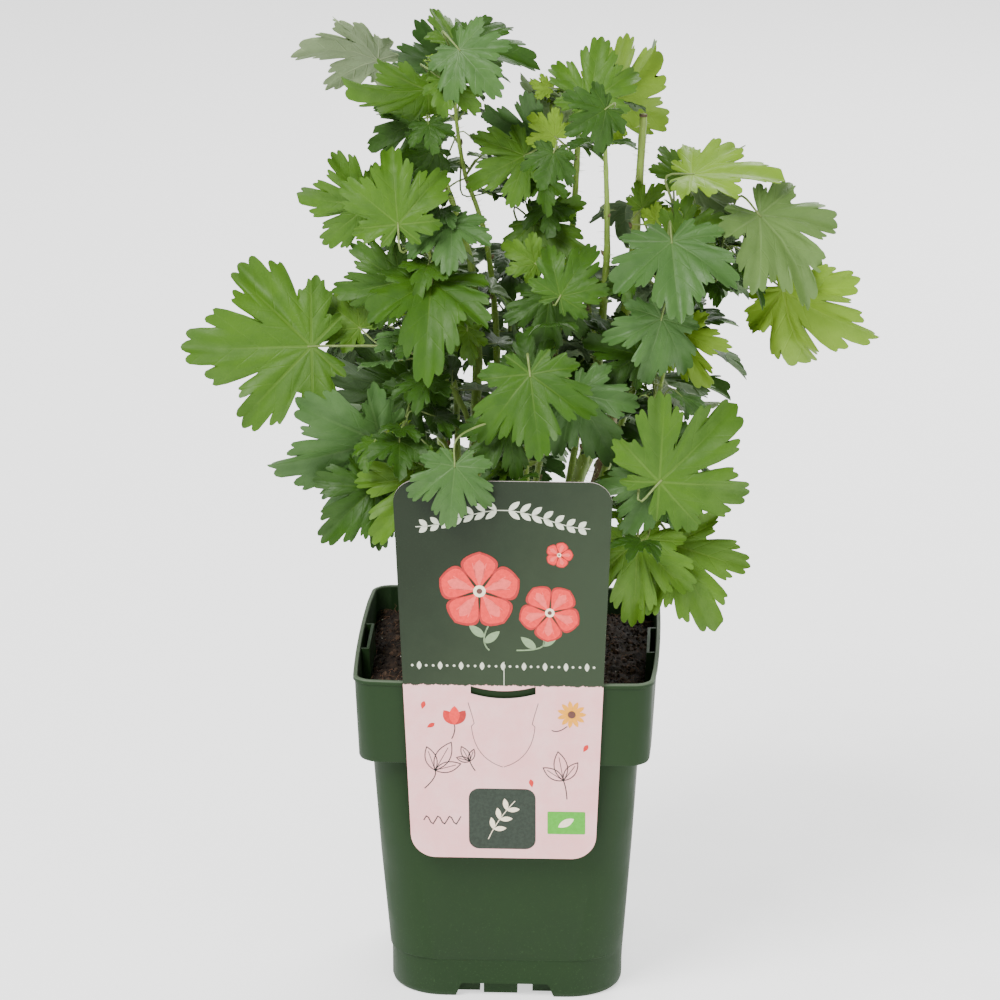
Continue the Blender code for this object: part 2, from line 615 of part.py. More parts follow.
def blade_outline():
    """Five blunt lobes with gaps between them, for a midrib of length 1."""
    right = [polar(turn, reach) for turn, reach in HALF_BLADE]
    left = [polar(-turn, reach) for turn, reach in HALF_BLADE]
    return left[::-1] + [polar(0, 1)] + right + [polar(180, BLADE_NOTCH)]


def blade_bend(flat, size):
    """Lifts a flat blade's point: the halves fold up a little and the ends droop."""
    reach = flat.length
    fold = BLADE_FOLD * abs(flat.x)
    return Vector((flat.x, flat.y, fold - BLADE_DROOP * reach ** 2)) * size


def leaf_frame(foot, midrib, face):
    """The blade's own axes: Y along the midrib, Z out of the upper side."""
    y = midrib.normalized()
    x = y.cross(face).normalized()
    z = x.cross(y)
    return Matrix.Translation(foot) @ Matrix((x, y, z)).transposed().to_4x4()


def shown_frame(leaf, toward):
    """The frame of a leaf from its row in the table, at this depth."""
    aim, tip = math.radians(leaf.aim), math.radians(leaf.tip)
    in_picture = PICTURE_RIGHT * math.cos(aim) + PICTURE_UP * math.sin(aim)
    midrib = in_picture * math.cos(tip) + TO_VIEWER * math.sin(tip)
    face = TO_VIEWER - midrib * TO_VIEWER.dot(midrib)
    face = Matrix.Rotation(math.radians(leaf.roll), 3, midrib) @ face
    return leaf_frame(seen(leaf.across, leaf.height, toward), midrib, face)


def blade(frame, size, thickness):
    """Points and faces of one blade: the outline fanned from the foot, on both sides."""
    outline = blade_outline()
    flat = [Vector((0, BLADE_MIDDLE, 0))] + outline
    half = Vector((0, 0, thickness / 2))
    points = [frame @ (blade_bend(p, size) + half) for p in flat]
    points += [frame @ (blade_bend(p, size) - half) for p in flat]
    count = len(flat)
    faces = []
    for i in range(1, count):
        j = i % (count - 1) + 1
        faces += [(0, j, i), (count, count + i, count + j), (i, j, count + j, count + i)]
    return points, faces


def tube(route, thick, thin, sides=3):
    """Points and faces of a closed tube along a route."""
    points, count = [], len(route)
    side = Vector((0.31, 0.95, 0.05))
    for i, place in enumerate(route):
        along = (route[min(i + 1, count - 1)] - route[max(i - 1, 0)]).normalized()
        side = (side - along * side.dot(along)).normalized()
        other = along.cross(side)
        radius = thick + (thin - thick) * i / (count - 1)
        for k in range(sides):
            angle = 2 * math.pi * k / sides
            points.append(place + (side * math.cos(angle) + other * math.sin(angle)) * radius)
    faces = [tuple(range(sides))[::-1], tuple(range((count - 1) * sides, count * sides))]
    for i in range(count - 1):
        low = i * sides
        for k in range(sides):
            m = (k + 1) % sides
            faces.append((low + k, low + m, low + sides + m, low + sides + k))
    return points, faces


def stalk_route(root, frame, size, arrive):
    """From its root inside the stem, bowing into the line of the midrib and just into the blade."""
    foot, midrib = frame.translation, frame.to_3x3() @ Vector((0, 1, 0))
    reach = (foot - root).length
    before = foot - midrib * min(reach * STALK_BOW, arrive)
    leave = root.lerp(before, STALK_BOW) + Vector((0, 0, reach * STALK_LIFT))
    return [root, leave, before, foot + midrib * STALK_END * size]


def stalk_roots(stem, foot):
    """The places on the stem where this leaf's stalk may start, the most natural ones first."""
    end = stem[-1] + (stem[-2] - stem[-1]).normalized() * 2

    def strain(place):
        away = foot - place
        return away.length + max(0, 0.5 * math.hypot(away.x, away.y) - away.z) * 0.6

    return sorted(stem[1:-1] + [end], key=strain)


def tree_of(points, faces):
    return BVHTree.FromPolygons([tuple(p) for p in points], faces)


def object_tree(made):
    """A search tree of an object's faces, in millimetres."""
    bpy.context.view_layer.update()
    graph = bpy.context.evaluated_depsgraph_get()
    evaluated = made.evaluated_get(graph)
    mesh = evaluated.to_mesh()
    points = [made.matrix_world @ v.co / MM for v in mesh.vertices]
    faces = [tuple(p.vertices) for p in mesh.polygons]
    evaluated.to_mesh_clear()
    return tree_of(points, faces)


class Bush:
    """What is placed so far, so that nothing new runs into it."""

    def __init__(self, solids):
        self.solids = solids
        self.stems = {}
        self.stalks = []
        self.blades = []
        self.grown = {mass.name: [] for mass in MASSES}

    def free(self, mass, tree, is_blade):
        """True if a blade is clear of all that is placed, or a stalk of all but its own mass's wood."""
        if any(solid.overlap(tree) for solid in self.solids + self.blades):
            return False
        if any(owner != mass and other.overlap(tree) for owner, other in self.stems.items()):
            return False
        if is_blade and self.stems[mass].overlap(tree):
            return False
        return not any((is_blade or owner != mass) and other.overlap(tree) for owner, other in self.stalks)

    def grow(self, mass, stem, frame, size):
        """Keeps the leaf, with a stalk, if both are clear of everything. True if it was kept."""
        wide = tree_of(*blade(frame, size, BLADE_THICKNESS + 2 * GAP))
        if not self.free(mass, wide, True):
            return False
        roots = stalk_roots(stem, frame.translation)[:STALK_TRIES]
        for root, arrive in [(root, arrive) for arrive in STALK_ARRIVALS for root in roots]:
            route = stalk_route(root, frame, size, arrive)
            stalk = tree_of(*tube(route[:-1], STALK_RADIUS + GAP, STALK_END_RADIUS + GAP))
            if self.free(mass, stalk, False) and not stalk.overlap(wide):
                self.blades.append(wide)
                self.stalks.append((mass, stalk))
                self.grown[mass].append((frame, size, route))
                return True
        return False


def place_shown_leaves(bush, mass, stem):
    """Each leaf keeps its place in the front view and moves in depth until it is clear."""
    for leaf in mass.leaves:
        for shift in DEPTH_SHIFTS:
            if bush.grow(mass.name, stem, shown_frame(leaf, leaf.toward + shift), leaf.size):
                break


def place_filler_leaves(bush, mass, stem):
    """Leaves in a spiral about the stem, each arching out and drooping, until there are enough."""
    chance = random.Random(mass.seed)
    middle = stem[len(stem) // 2]
    wanted, turn = mass.filler, chance.uniform(0, 2 * math.pi)
    for _ in range(FILLER_TRIES):
        if not wanted:
            break
        turn += GOLDEN_TURN
        outward = Vector((math.cos(turn), math.sin(turn), 0))
        root = stem[int(chance.uniform(*FILLER_ROOT) * (len(stem) - 1))]
        size = chance.uniform(*FILLER_SIZE)
        stalk = outward + Vector((0, 0, chance.uniform(*FILLER_RISE)))
        foot = root + stalk.normalized() * chance.uniform(*FILLER_STALK)
        sway = Vector([chance.uniform(*limits) for limits in (FILLER_SWAY, FILLER_SWAY, FILLER_DROOP)])
        midrib = outward + sway
        face = Vector((0, 0, 1)) + outward * chance.uniform(*FILLER_TURN_OUT)
        tip = foot + midrib.normalized() * size
        if mass.leaves and outward.y < FRONT_SHARE:
            continue
        if (tip - middle).length > mass.spread or min(tip.z, foot.z) < POT_HEIGHT + KEEP_ABOVE_RIM:
            continue
        if bush.grow(mass.name, stem, leaf_frame(foot, midrib, face), size):
            wanted -= 1


def mass_stem(mass, limb, route):
    """The mass's own stem from just clear of its limb's tip, and its radius there."""
    end, before = route[-1], route[-2]
    ahead = (end - before).normalized()
    start = end + ahead * GAP
    own = [seen(*place) for place in mass.route]
    return growing_route(start, ahead * MASS_STEM_STRAIGHT, own), min(limb.thin, MASS_STEM_RADIUS)


def fuse(name, pieces, parts, finish):
    """One solid from many overlapping ones."""
    gathered = bpy.data.collections.new(name + "_pieces")
    bpy.context.scene.collection.children.link(gathered)
    for i, (points, faces) in enumerate(pieces[1:]):
        mesh_object(f"{name}_{i}", points, faces, gathered)
    made = mesh_object(name, *pieces[0], parts, finish)
    union = made.modifiers.new("union", "BOOLEAN")
    union.operation = "UNION"
    union.operand_type = "COLLECTION"
    union.collection = gathered
    union.solver = "MANIFOLD"
    bpy.context.view_layer.update()
    graph = bpy.context.evaluated_depsgraph_get()
    joined = bpy.data.meshes.new_from_object(made.evaluated_get(graph))
    made.modifiers.clear()
    made.data = joined
    for piece in list(gathered.objects):
        bpy.data.objects.remove(piece, do_unlink=True)
    bpy.data.collections.remove(gathered)
    return made


def bush(parts, solids, green, brown, leaf_green):
    """Limbs first, then every leaf that the front shows, then the fillers, then the solids."""
    routes, limbs = {}, {limb.name: limb for limb in LIMBS}
    trees = {solid.name: object_tree(solid) for solid in solids}
    for limb in LIMBS:
        routes[limb.name] = limb_route(limb, routes, trees)
        wood = brown if limb.name in WOODY_CANES else green
        trees[limb.name] = object_tree(limb_solid(limb, routes[limb.name], parts, wood))
    crown = Bush(list(trees.values()))
    stems = {}
    for mass in MASSES:
        stem, radius = mass_stem(mass, limbs[mass.limb], routes[mass.limb])
        stems[mass.name] = (stem, radius)
        crown.stems[mass.name] = tree_of(*tube(stem, radius + GAP, MASS_STEM_TIP_RADIUS + GAP))
    for place_leaves in (place_shown_leaves, place_filler_leaves):
        for mass in MASSES:
            place_leaves(crown, mass, stems[mass.name][0])
    for mass in MASSES:
        stem, radius = stems[mass.name]
        pieces = [tube(stem, radius, MASS_STEM_TIP_RADIUS, 5)]
        for frame, size, route in crown.grown[mass.name]:
            pieces.append(tube(route, STALK_RADIUS, STALK_END_RADIUS))
            pieces.append(blade(frame, size, BLADE_THICKNESS))
        fuse(mass.name, pieces, parts, leaf_green)


def main():
    clear_scene()
    parts = new_collection("gooseberry_bush")
    cutters = new_collection("cutters")
    plastic = material("pot_plastic", (0.07, 0.13, 0.06), 0.45)
    soil = material("compost", (0.02, 0.014, 0.01), 0.95)
    card = material("label_card", (0.82, 0.66, 0.68), 0.5)
    green = material("green_cane", (0.30, 0.38, 0.12), 0.6)
    brown = material("woody_cane", (0.16, 0.10, 0.06), 0.8)
    leaf_green = material("leaf", (0.10, 0.24, 0.05), 0.5)
    solids = [
        pot(parts, cutters, plastic),
        compost(parts, soil),
        label(parts, cutters, card),
        stem_base(parts, brown),
    ]
    bush(parts, solids, green, brown, leaf_green)


main()
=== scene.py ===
"""The look of a young gooseberry bush in its nursery pot, with a card label hung on the rim.

The bush grows by the same tables and rule as its solids. Lengths in the tables and in the
shape functions are millimetres, and pieces are made in metres.
"""

import json
import math
import random
from collections import namedtuple

import bmesh
import bpy
import numpy as np
from mathutils import Matrix, Vector, noise
from mathutils.bvhtree import BVHTree

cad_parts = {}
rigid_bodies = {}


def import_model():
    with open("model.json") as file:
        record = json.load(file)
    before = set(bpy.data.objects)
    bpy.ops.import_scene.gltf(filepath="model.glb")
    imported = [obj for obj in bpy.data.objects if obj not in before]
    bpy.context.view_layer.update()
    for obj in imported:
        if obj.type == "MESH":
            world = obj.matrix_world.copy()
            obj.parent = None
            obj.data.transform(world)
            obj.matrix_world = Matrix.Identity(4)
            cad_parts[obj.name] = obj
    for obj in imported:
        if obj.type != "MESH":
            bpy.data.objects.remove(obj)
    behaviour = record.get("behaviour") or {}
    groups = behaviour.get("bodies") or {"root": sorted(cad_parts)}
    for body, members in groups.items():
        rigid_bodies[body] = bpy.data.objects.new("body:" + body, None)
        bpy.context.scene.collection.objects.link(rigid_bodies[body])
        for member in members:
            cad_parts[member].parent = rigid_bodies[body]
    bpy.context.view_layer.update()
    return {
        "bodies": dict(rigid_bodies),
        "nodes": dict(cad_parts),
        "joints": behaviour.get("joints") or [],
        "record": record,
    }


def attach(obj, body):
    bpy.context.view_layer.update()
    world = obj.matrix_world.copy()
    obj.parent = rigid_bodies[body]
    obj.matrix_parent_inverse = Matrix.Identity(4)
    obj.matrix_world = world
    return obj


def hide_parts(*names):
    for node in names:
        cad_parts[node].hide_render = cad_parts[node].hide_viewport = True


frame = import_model()

MM = 0.001
GAP = 0.35

# Pot
RIM_WIDTH = 130.0
RIM_BEAD_PROUD = 0.7
RIM_BEAD_HEIGHT = 2.2
POT_HEIGHT = 152.3
COLLAR_HEIGHT = 38.6
COLLAR_FOOT_WIDTH = 126.0
BODY_TOP_WIDTH = 115.0
FOOT_WIDTH = 103.0
FOOT_BAND_HEIGHT = 17.5
WALL = 1.2
SIDE_BOW = 1.6
FLOOR_BOTTOM = 7.0
FLOOR_TOP = 9.4
DRAIN_SLOT_WIDTH = 44.0
DRAIN_SLOT_HEIGHT = 6.4
SHELF = POT_HEIGHT - COLLAR_HEIGHT  # the height of the collar's foot
SHELF_ROUND = 1.5
FOOT_HALF, BODY_TOP_HALF, COLLAR_FOOT_HALF, RIM_HALF = (
    width / 2 for width in (FOOT_WIDTH, BODY_TOP_WIDTH, COLLAR_FOOT_WIDTH, RIM_WIDTH)
)

# Compost
COMPOST_EDGE_DROP = 14.0
COMPOST_RISE = 4.5
COMPOST_LUMP = 1.6
COMPOST_CORNER = 7.0
CROWN_FLAT = 16.0

# Label
CARD_TOP_WIDTH = 93.0
CARD_FOOT_WIDTH = 80.5
CARD_ABOVE_RIM = 93.0
CARD_BELOW_RIM = 81.6
CARD_THICKNESS = 0.6
CARD_TOP_CORNER = 10.0
CARD_FOOT_CORNER = 11.0
CARD_LEAN = math.radians(3.0)
WINDOW_WIDTH = 28.0
WINDOW_HEIGHT = 3.6
WINDOW_SAG = 2.2
WINDOW_DROP = 0.8  # of its upper corners below the rim
WINDOW_STEPS = 16
CARD_CORNER_STEPS = 14
TONGUE_WIDTH = 25.0
TONGUE_DROP = 11.0
TONGUE_SUNK = 0.5  # how far behind the middle of the card it starts

# Stem base, a stool from which the canes rise
STOOL_RADIUS = 11.0
STOOL_FLARE = 14.5
STOOL_RISE = 8.0  # height of the dome's middle above the compost
CANE_SPLAY = math.radians(50)  # from upright, where the canes leave the stool
CANE_STRAIGHT = 8.0  # the first stretch of a cane, and of a shoot
SHOOT_STRAIGHT = 5.0
SHOOT_ANGLE = math.radians(55)

# The bush is laid out as its front view shows it, looking down at this angle.
VIEW_PITCH = math.radians(17.5)
PICTURE_RIGHT = Vector((1, 0, 0))
PICTURE_UP = Vector((0, math.sin(VIEW_PITCH), math.cos(VIEW_PITCH)))
TO_VIEWER = Vector((0, -math.cos(VIEW_PITCH), math.sin(VIEW_PITCH)))

# Half of a blade's outline: degrees from the midrib, and reach as a share of the midrib. In turn
# the midlobe's shoulder, the gap after it, the side lobe's two shoulders, the low lobe and the base.
HALF_BLADE = ((14, 0.91), (22, 0.53), (32, 0.84), (58, 0.78), (92, 0.55), (140, 0.32))
BLADE_MIDDLE = 0.10
BLADE_NOTCH = 0.05
BLADE_THICKNESS = 0.8
BLADE_DROOP = 0.22
BLADE_FOLD = 0.16
MASS_STEM_RADIUS = 1.5
MASS_STEM_STRAIGHT = 4.0
MASS_STEM_TIP_RADIUS = 1.0
STALK_RADIUS = 0.9
STALK_END_RADIUS = 0.3
STALK_BOW = 0.45  # where along it the stalk bends, as a share
STALK_LIFT = 0.06
STALK_END = 0.03  # how far along the midrib it ends
STALK_TRIES = 6
STALK_ARRIVALS = (12, 5)  # how far before the blade the stalk falls in with its midrib
DEPTH_SHIFTS = (0, 3, -3, 6, -6, 9, -9, 12, -12, 16, -16, 20, -20, 25, -25, 30, -30)

# Leaves that the front view hides, grown by rule. Shares and ranges drawn from for each.
FILLER_TRIES = 500
FILLER_SIZE = (26, 48)
FILLER_STALK = (10, 36)
FILLER_ROOT = (0.1, 1)  # share of the way up the mass's stem
FILLER_RISE = (-0.5, 0.9)  # of the stalk, to 1 outwards
FILLER_SWAY = (-0.4, 0.4)
FILLER_DROOP = (-0.9, 0.35)  # of the midrib, to 1 outwards
FILLER_TURN_OUT = (0.3, 1.2)  # of the upper face, to 1 upwards
KEEP_ABOVE_RIM = 14
FRONT_SHARE = -0.2  # a mass with shown leaves gets no filler that points further forward than this
GOLDEN_TURN = math.radians(137.5)

WOODY_CANES = ("cane_cut_right",)  # last year's wood, brown; the others are still green

# A limb: its name, what bears it, where it leaves that (a share of a parent's length, or a cane's
# bearing about the stool in degrees, with - for straight up) and its thickness at both ends. Then
# its route in the front view's millimetres: across, height and how far it lies to the viewer.
LIMB_ROWS = """
cane_middle stem_base - 3.0 1.5 / 2 186 -6 / 8 262 -14 / 16 318 -10 / 18 342 -6
cane_upright stem_base 0 3.6 1.6 / 20 190 2 / 33 235 4 / 39 284 2 / 42 328 4 / 41 372 6
cane_cut_right stem_base 51 3.3 1.5 / 26 190 -14 / 41 234 -16 / 49 290 -10 / 54 336 -4 / 57 388 -4
cane_back_right stem_base 103 3.0 1.6 / 8 176 -34 / 22 208 -48 / 38 244 -54
cane_back_left stem_base 154 3.0 1.6 / -20 182 -22 / -28 216 -42 / -34 248 -52
cane_leader stem_base 206 3.4 1.7 / -17 192 0 / -14 280 -2 / -17 322 0 / -26 352 2
cane_left stem_base 257 2.8 1.6 / -10 190 26 / -13 232 30 / -18 254 29 / -26 267 27
cane_front stem_base 309 2.6 1.6 / 13 180 30 / 10 208 42 / 9 226 45
shoot_leader_twin cane_leader 0.5 1.7 1.2 / -6 272 -12 / -8 312 -10 / -12 338 -8 / -18 356 -7
shoot_upper_left cane_leader 0.4 1.8 1.3 / -23 262 8 / -27 286 10 / -29 302 12
shoot_low_left cane_left 0.34 1.8 1.3 / -23 200 32 / -33 210 36 / -40 222 38
shoot_centre cane_middle 0.3 1.9 1.3 / 14 236 6 / 17 264 12 / 18 288 16
shoot_cut_left cane_middle 0.52 1.8 1.25 / 20 290 -14 / 26 330 -14 / 29 382 -14
shoot_right cane_cut_right 0.42 1.9 1.4 / 54 266 4 / 59 290 10 / 63 309 12
shoot_far_right shoot_right 0.5 1.4 1.1 / 68 298 4 / 76 309 2 / 85 316 4
shoot_low_right cane_upright 0.24 1.8 1.3 / 36 212 22 / 47 224 28 / 56 236 32
shoot_rim_right cane_front 0.36 1.7 1.2 / 28 188 38 / 44 196 42 / 56 206 44
shoot_heart cane_upright 0.42 1.8 1.3 / 31 256 -12 / 34 268 -14 / 36 278 -14
shoot_heart_left cane_leader 0.26 1.8 1.3 / -25 232 -2 / -31 242 -4 / -35 254 -4
shoot_back cane_middle 0.3 1.8 1.3 / 4 244 -34 / 0 268 -46 / -2 286 -54
shoot_back_low cane_back_right 0.44 1.8 1.3 / 2 204 -60 / -4 214 -68 / -8 224 -72
"""

# A mass: its name, its limb, how many leaves fill it by rule, how far it spreads, its seed and its
# stem's route. Below it each leaf that shows: where the blade joins its stalk, the way its midrib
# points in the front view (0 right, 90 up), how far that tips to the viewer, its turn about the
# midrib (0 shows the upper side, 180 the lower), the midrib's length and its colour.
MASS_ROWS = """
foliage_top_left cane_leader 1 44 11 / -30 372 3 / -31 388 4 / -29 402 5
    -56 410 4 158 -10 122 37 pale
    -34 396 0 186 5 -62 38 mid
    -39 384 10 205 15 10 25 dark
    -31 371 8 208 20 -35 23 dark
    -27 399 10 -35 15 -20 20 mid
foliage_crest shoot_leader_twin 1 40 12 / -22 374 -6 / -24 394 -5 / -23 408 -4
    -23 417 -2 66 -44 0 26 mid
    -20 414 2 2 10 -42 34 dark
    -24 413 2 186 12 -50 34 blue
    -20 412 8 -48 22 0 29 blue
foliage_upper_left shoot_upper_left 3 52 13 / -32 318 14 / -36 330 16
    -46 336 26 96 5 0 36 mid
    -60 346 14 178 10 -10 32 mid
    -32 311 34 -92 44 0 44 deep
    -24 337 20 -88 40 0 28 blue
    -46 312 20 196 12 -15 30 deep
foliage_left cane_left 2 56 14 / -33 282 26 / -37 294 24
    -84 282 28 182 4 8 58 mid
    -64 291 18 142 0 0 25 bright
    -24 272 22 84 0 78 19 dark
    -17 290 18 -84 10 30 16 bright
foliage_low_left shoot_low_left 1 58 15 / -44 230 40 / -46 240 40
    -54 240 32 198 6 -35 53 blue
    -56 219 36 224 10 0 33 dark
    -35 223 52 230 18 8 36 bright
    -37 225 46 140 0 172 24 under
    -34 229 56 -25 15 0 17 mid
    -40 262 30 262 20 0 28 dark
foliage_centre_front cane_front 1 46 16 / 11 244 48 / 12 260 48
    11 270 60 -82 10 0 41 deep
    12 272 44 112 0 0 19 dark
    30 262 42 -58 12 0 35 blue
    2 247 50 -128 16 0 27 dark
    -20 229 76 -95 4 0 29 blue
foliage_centre shoot_centre 0 46 17 / 19 302 18 / 19 314 18
    18 306 26 -96 12 0 28 dark
    23 305 32 58 4 0 27 deep
    12 320 26 148 6 0 17 bright
    10 340 22 -34 26 0 32 mid
foliage_top_middle cane_middle 0 36 18 / 17 358 -4 / 17 378 -3 / 17.5 392 -2
    28 391 2 177 4 -66 28 pale
    13 376 4 158 8 -46 30 blue
    20 376 10 138 6 0 16 young
    7 368 14 208 20 0 28 mid
    20 368 12 -108 16 0 18 dark
    17 398 0 172 10 -30 9 young
foliage_top_right cane_upright 0 44 19 / 40 384 6 / 38 392 6
    35 391 14 84 -6 0 30 mid
    40 392 4 38 -12 48 42 young
    42 386 22 214 20 0 23 dark
foliage_right_upper shoot_right 2 52 20 / 68 324 14 / 73 338 12
    70 330 34 -84 34 0 43 blue
    72 333 18 24 0 0 24 mid
    78 361 6 4 4 -58 40 young
    74 360 2 118 -6 26 20 mid
    80 358 0 -38 0 70 30 pale
    57 346 0 52 0 0 15 bright
    63 340 12 92 0 0 10 young
foliage_far_right shoot_far_right 2 62 21 / 88 320 0 / 91 328 -4
    107 343 18 -46 8 -34 45 sheen
    118 311 30 -36 6 40 49 young
foliage_right_middle shoot_low_right 1 50 22 / 62 248 34 / 66 266 32 / 69 282 28
    66 296 34 -104 14 -16 31 blue
    74 291 26 -70 8 22 27 young
    70 296 14 14 4 -60 28 dark
    70 238 38 158 6 0 25 dark
    66 223 46 42 4 14 48 mid
    68 267 18 -36 0 104 25 under
    68 256 22 180 6 60 22 dark
    57 280 40 168 14 10 28 dark
foliage_low_right shoot_rim_right 2 48 23 / 62 210 46 / 66 218 46
    66 226 42 -116 10 -14 31 blue
    57 197 60 -92 6 0 38 bright
    72 195 50 -62 6 0 41 bright
    70 217 48 -18 4 0 14 mid
foliage_heart shoot_heart 4 50 28 / 36 292 -14 / 33 306 -16
foliage_heart_left shoot_heart_left 5 54 29 / -37 266 -4 / -40 280 -6
    -44 268 8 190 8 -40 40 dark
foliage_back_left cane_back_left 10 62 24 / -42 272 -56 / -50 304 -52 / -48 338 -44
foliage_back shoot_back 7 58 25 / -2 304 -56 / 0 322 -54
foliage_back_right cane_back_right 10 62 26 / 50 272 -58 / 64 298 -52 / 68 326 -44
foliage_back_low shoot_back_low 6 62 27 / -10 234 -76 / -16 244 -80
"""

Limb = namedtuple("Limb", "name parent fork thick thin route")
Leaf = namedtuple("Leaf", "across height toward aim tip roll size tone")
Mass = namedtuple("Mass", "name limb filler spread seed route leaves")


def read_row(row):
    """A table's row: its words, and the places of its route."""
    words, *places = row.split("/")
    return words.split(), [[float(word) for word in place.split()] for place in places]


def read_limbs():
    """The table's limbs in order, each after its parent."""
    limbs = []
    for row in LIMB_ROWS.strip().splitlines():
        (name, parent, fork, *thickness), route = read_row(row)
        limbs.append(Limb(name, parent, None if fork == "-" else float(fork), *map(float, thickness), route))
    return limbs


def read_masses():
    """The table's masses in order, each with the leaves listed under it."""
    masses = []
    for row in MASS_ROWS.strip().splitlines():
        if row.startswith(" "):
            *numbers, tone = row.split()
            masses[-1].leaves.append(Leaf(*map(float, numbers), tone))
        else:
            (name, limb, *counts), route = read_row(row)
            masses.append(Mass(name, limb, *map(int, counts), route, []))
    return masses


LIMBS, MASSES = read_limbs(), read_masses()

# The real leaf. Each lobe: its turn from the midrib, its length, half its width in degrees and
# its teeth. Lengths and heights are shares of the midrib.
BLADE_LOBES = (
    (0, 1.00, 25.5, 7), (-50, 0.86, 24.5, 7), (50, 0.86, 24.5, 7), (-97, 0.58, 22.0, 5), (97, 0.58, 22.0, 5),
    (-135, 0.36, 19.0, 3), (135, 0.36, 19.0, 3),
)
SINUS_FLOOR = 0.36
NOTCH_FLOOR = 0.05
BASE_TURN = 112.0
LOBE_CLEFT = 0.10
LOBE_CLEFT_AT = 0.4286
TOOTH_DEPTH = 0.075
SHOULDER_DROP = 0.42
LOBE_FOLD = 0.34
LOBE_BEND = (-0.75, 0.22)
VEIN_SPACING = math.radians(45)
QUILT_HEIGHT = 0.045
WAVE_HEIGHT = 0.10
LEAF_THICKNESS = 0.35  # in millimetres
SHEET_SPAN = 2.6  # the blade's own plane that its pattern map covers, in midribs

# Finer growth, in the same reach
FINE_TRIES = 260
FINE_LEAVES = 9  # more leaves for each mass
FINE_SEED = 100  # added to the mass's own
COVERED_AT = (0.2, 0.6, 1)  # shares of a fine leaf's length
FINE_SIZE = (12, 25)
FINE_STALK = (6, 22)
TUFT_SIZE = (6, 12)

# Drawn wood and leaves
BRISTLES = 130000  # on a square metre of bark
BRISTLE_LENGTH = (1.3, 3.3)
WOOD_STEP = 2.2
WOOD_SIDES = 12
SUNK = 2.0  # how far a limb's foot runs into what bears it
STEM_TIP_RADIUS = 0.65
GREEN_ROUGH = 0.035
WOODY_ROUGH = 0.09
BUD_SPACING = 19.0
BUD_SWELL = 0.16
BUD_LENGTH = (2.2, 3.6)
BUD_SEED = 5
STOOL_SIDES = 48
STALK_STEP = 2.5
STALK_SIDES = 6
STALK_THICK = 0.72
LARGE_FROM = 25.0  # the midrib from which a blade gets its finer edge
LARGE_TOOTH = (0, 0.12, 0.31, 0.5, 0.69, 0.88)  # where on each tooth the edge has points
LARGE_RINGS = (1.0, 0.86, 0.62, 0.34)  # shares of the way from the blade's foot to its edge
SMALL_TOOTH = (0, 0.28, 0.72)
SMALL_RINGS = (1.0, 0.78, 0.45)
TUFT_LEAVES = 5
TUFT_TOOTH = (0, 0.5)
TUFT_RINGS = (1.0, 0.6)
TUFT_THICKNESS = LEAF_THICKNESS / 2
LEAF_SEED = 7
# The fine leaves fill the crown's middle, so their shares lean more to dark: painted shade there.
RULE_TONES = ("mid", "deep", "dark", "blue")  # with the shares of each in the next two lines
FILLER_TONE_SHARES = (2, 4, 5, 2)
FINE_TONE_SHARES = (2, 4, 6, 2)

# Drawn pot and compost
CORNER_STEPS = 12
SIDE_STEPS = 8
FOOT_BOSS_RADIUS = 9.0
FOOT_RIBS = ((-21.5, -11.2, 44.5), (-9.4, 5.4, 47.0), (12.0, 21.5, 44.5))  # from, to, how far out
FOOT_RIB_DEEP = 4.0
SLOT_ENDS = (-21.0, 13.0)  # front and back of the narrow loop on the inside of each side wall
SLOT_OUT = 3.6
SLOT_WALL = 1.3
COMPOST_GRID = 0.9

# Colours: base, its shade, veins, roughness
LEAF_COLOURS = {
    "pale": ((0.27, 0.36, 0.17), (0.19, 0.28, 0.115), (0.36, 0.45, 0.25), 0.55),
    "mid": ((0.063, 0.148, 0.009), (0.037, 0.099, 0.005), (0.132, 0.229, 0.037), 0.48),
    "deep": ((0.043, 0.112, 0.006), (0.024, 0.074, 0.004), (0.099, 0.180, 0.023), 0.46),
    "dark": ((0.029, 0.083, 0.005), (0.017, 0.053, 0.003), (0.069, 0.143, 0.016), 0.45),
    # A bluish green that paints the glossy leaves' sheen into their colour.
    "blue": ((0.062, 0.140, 0.032), (0.038, 0.098, 0.019), (0.12, 0.21, 0.07), 0.42),
    "sheen": ((0.116, 0.202, 0.051), (0.082, 0.155, 0.033), (0.189, 0.284, 0.095), 0.45),
    # A clearer, lighter green that paints the light through backlit leaves into their colour.
    "bright": ((0.079, 0.172, 0.010), (0.048, 0.120, 0.006), (0.155, 0.258, 0.037), 0.48),
    "young": ((0.180, 0.315, 0.020), (0.126, 0.243, 0.011), (0.270, 0.405, 0.061), 0.50),
    "under": ((0.20, 0.28, 0.11), (0.15, 0.22, 0.08), (0.30, 0.38, 0.17), 0.6),
}
UNDERSIDE_COLOURS = {
    "pale": ((0.170, 0.235, 0.110), (0.26, 0.33, 0.17)),
    "green": ((0.145, 0.225, 0.105), (0.27, 0.35, 0.17)),
}
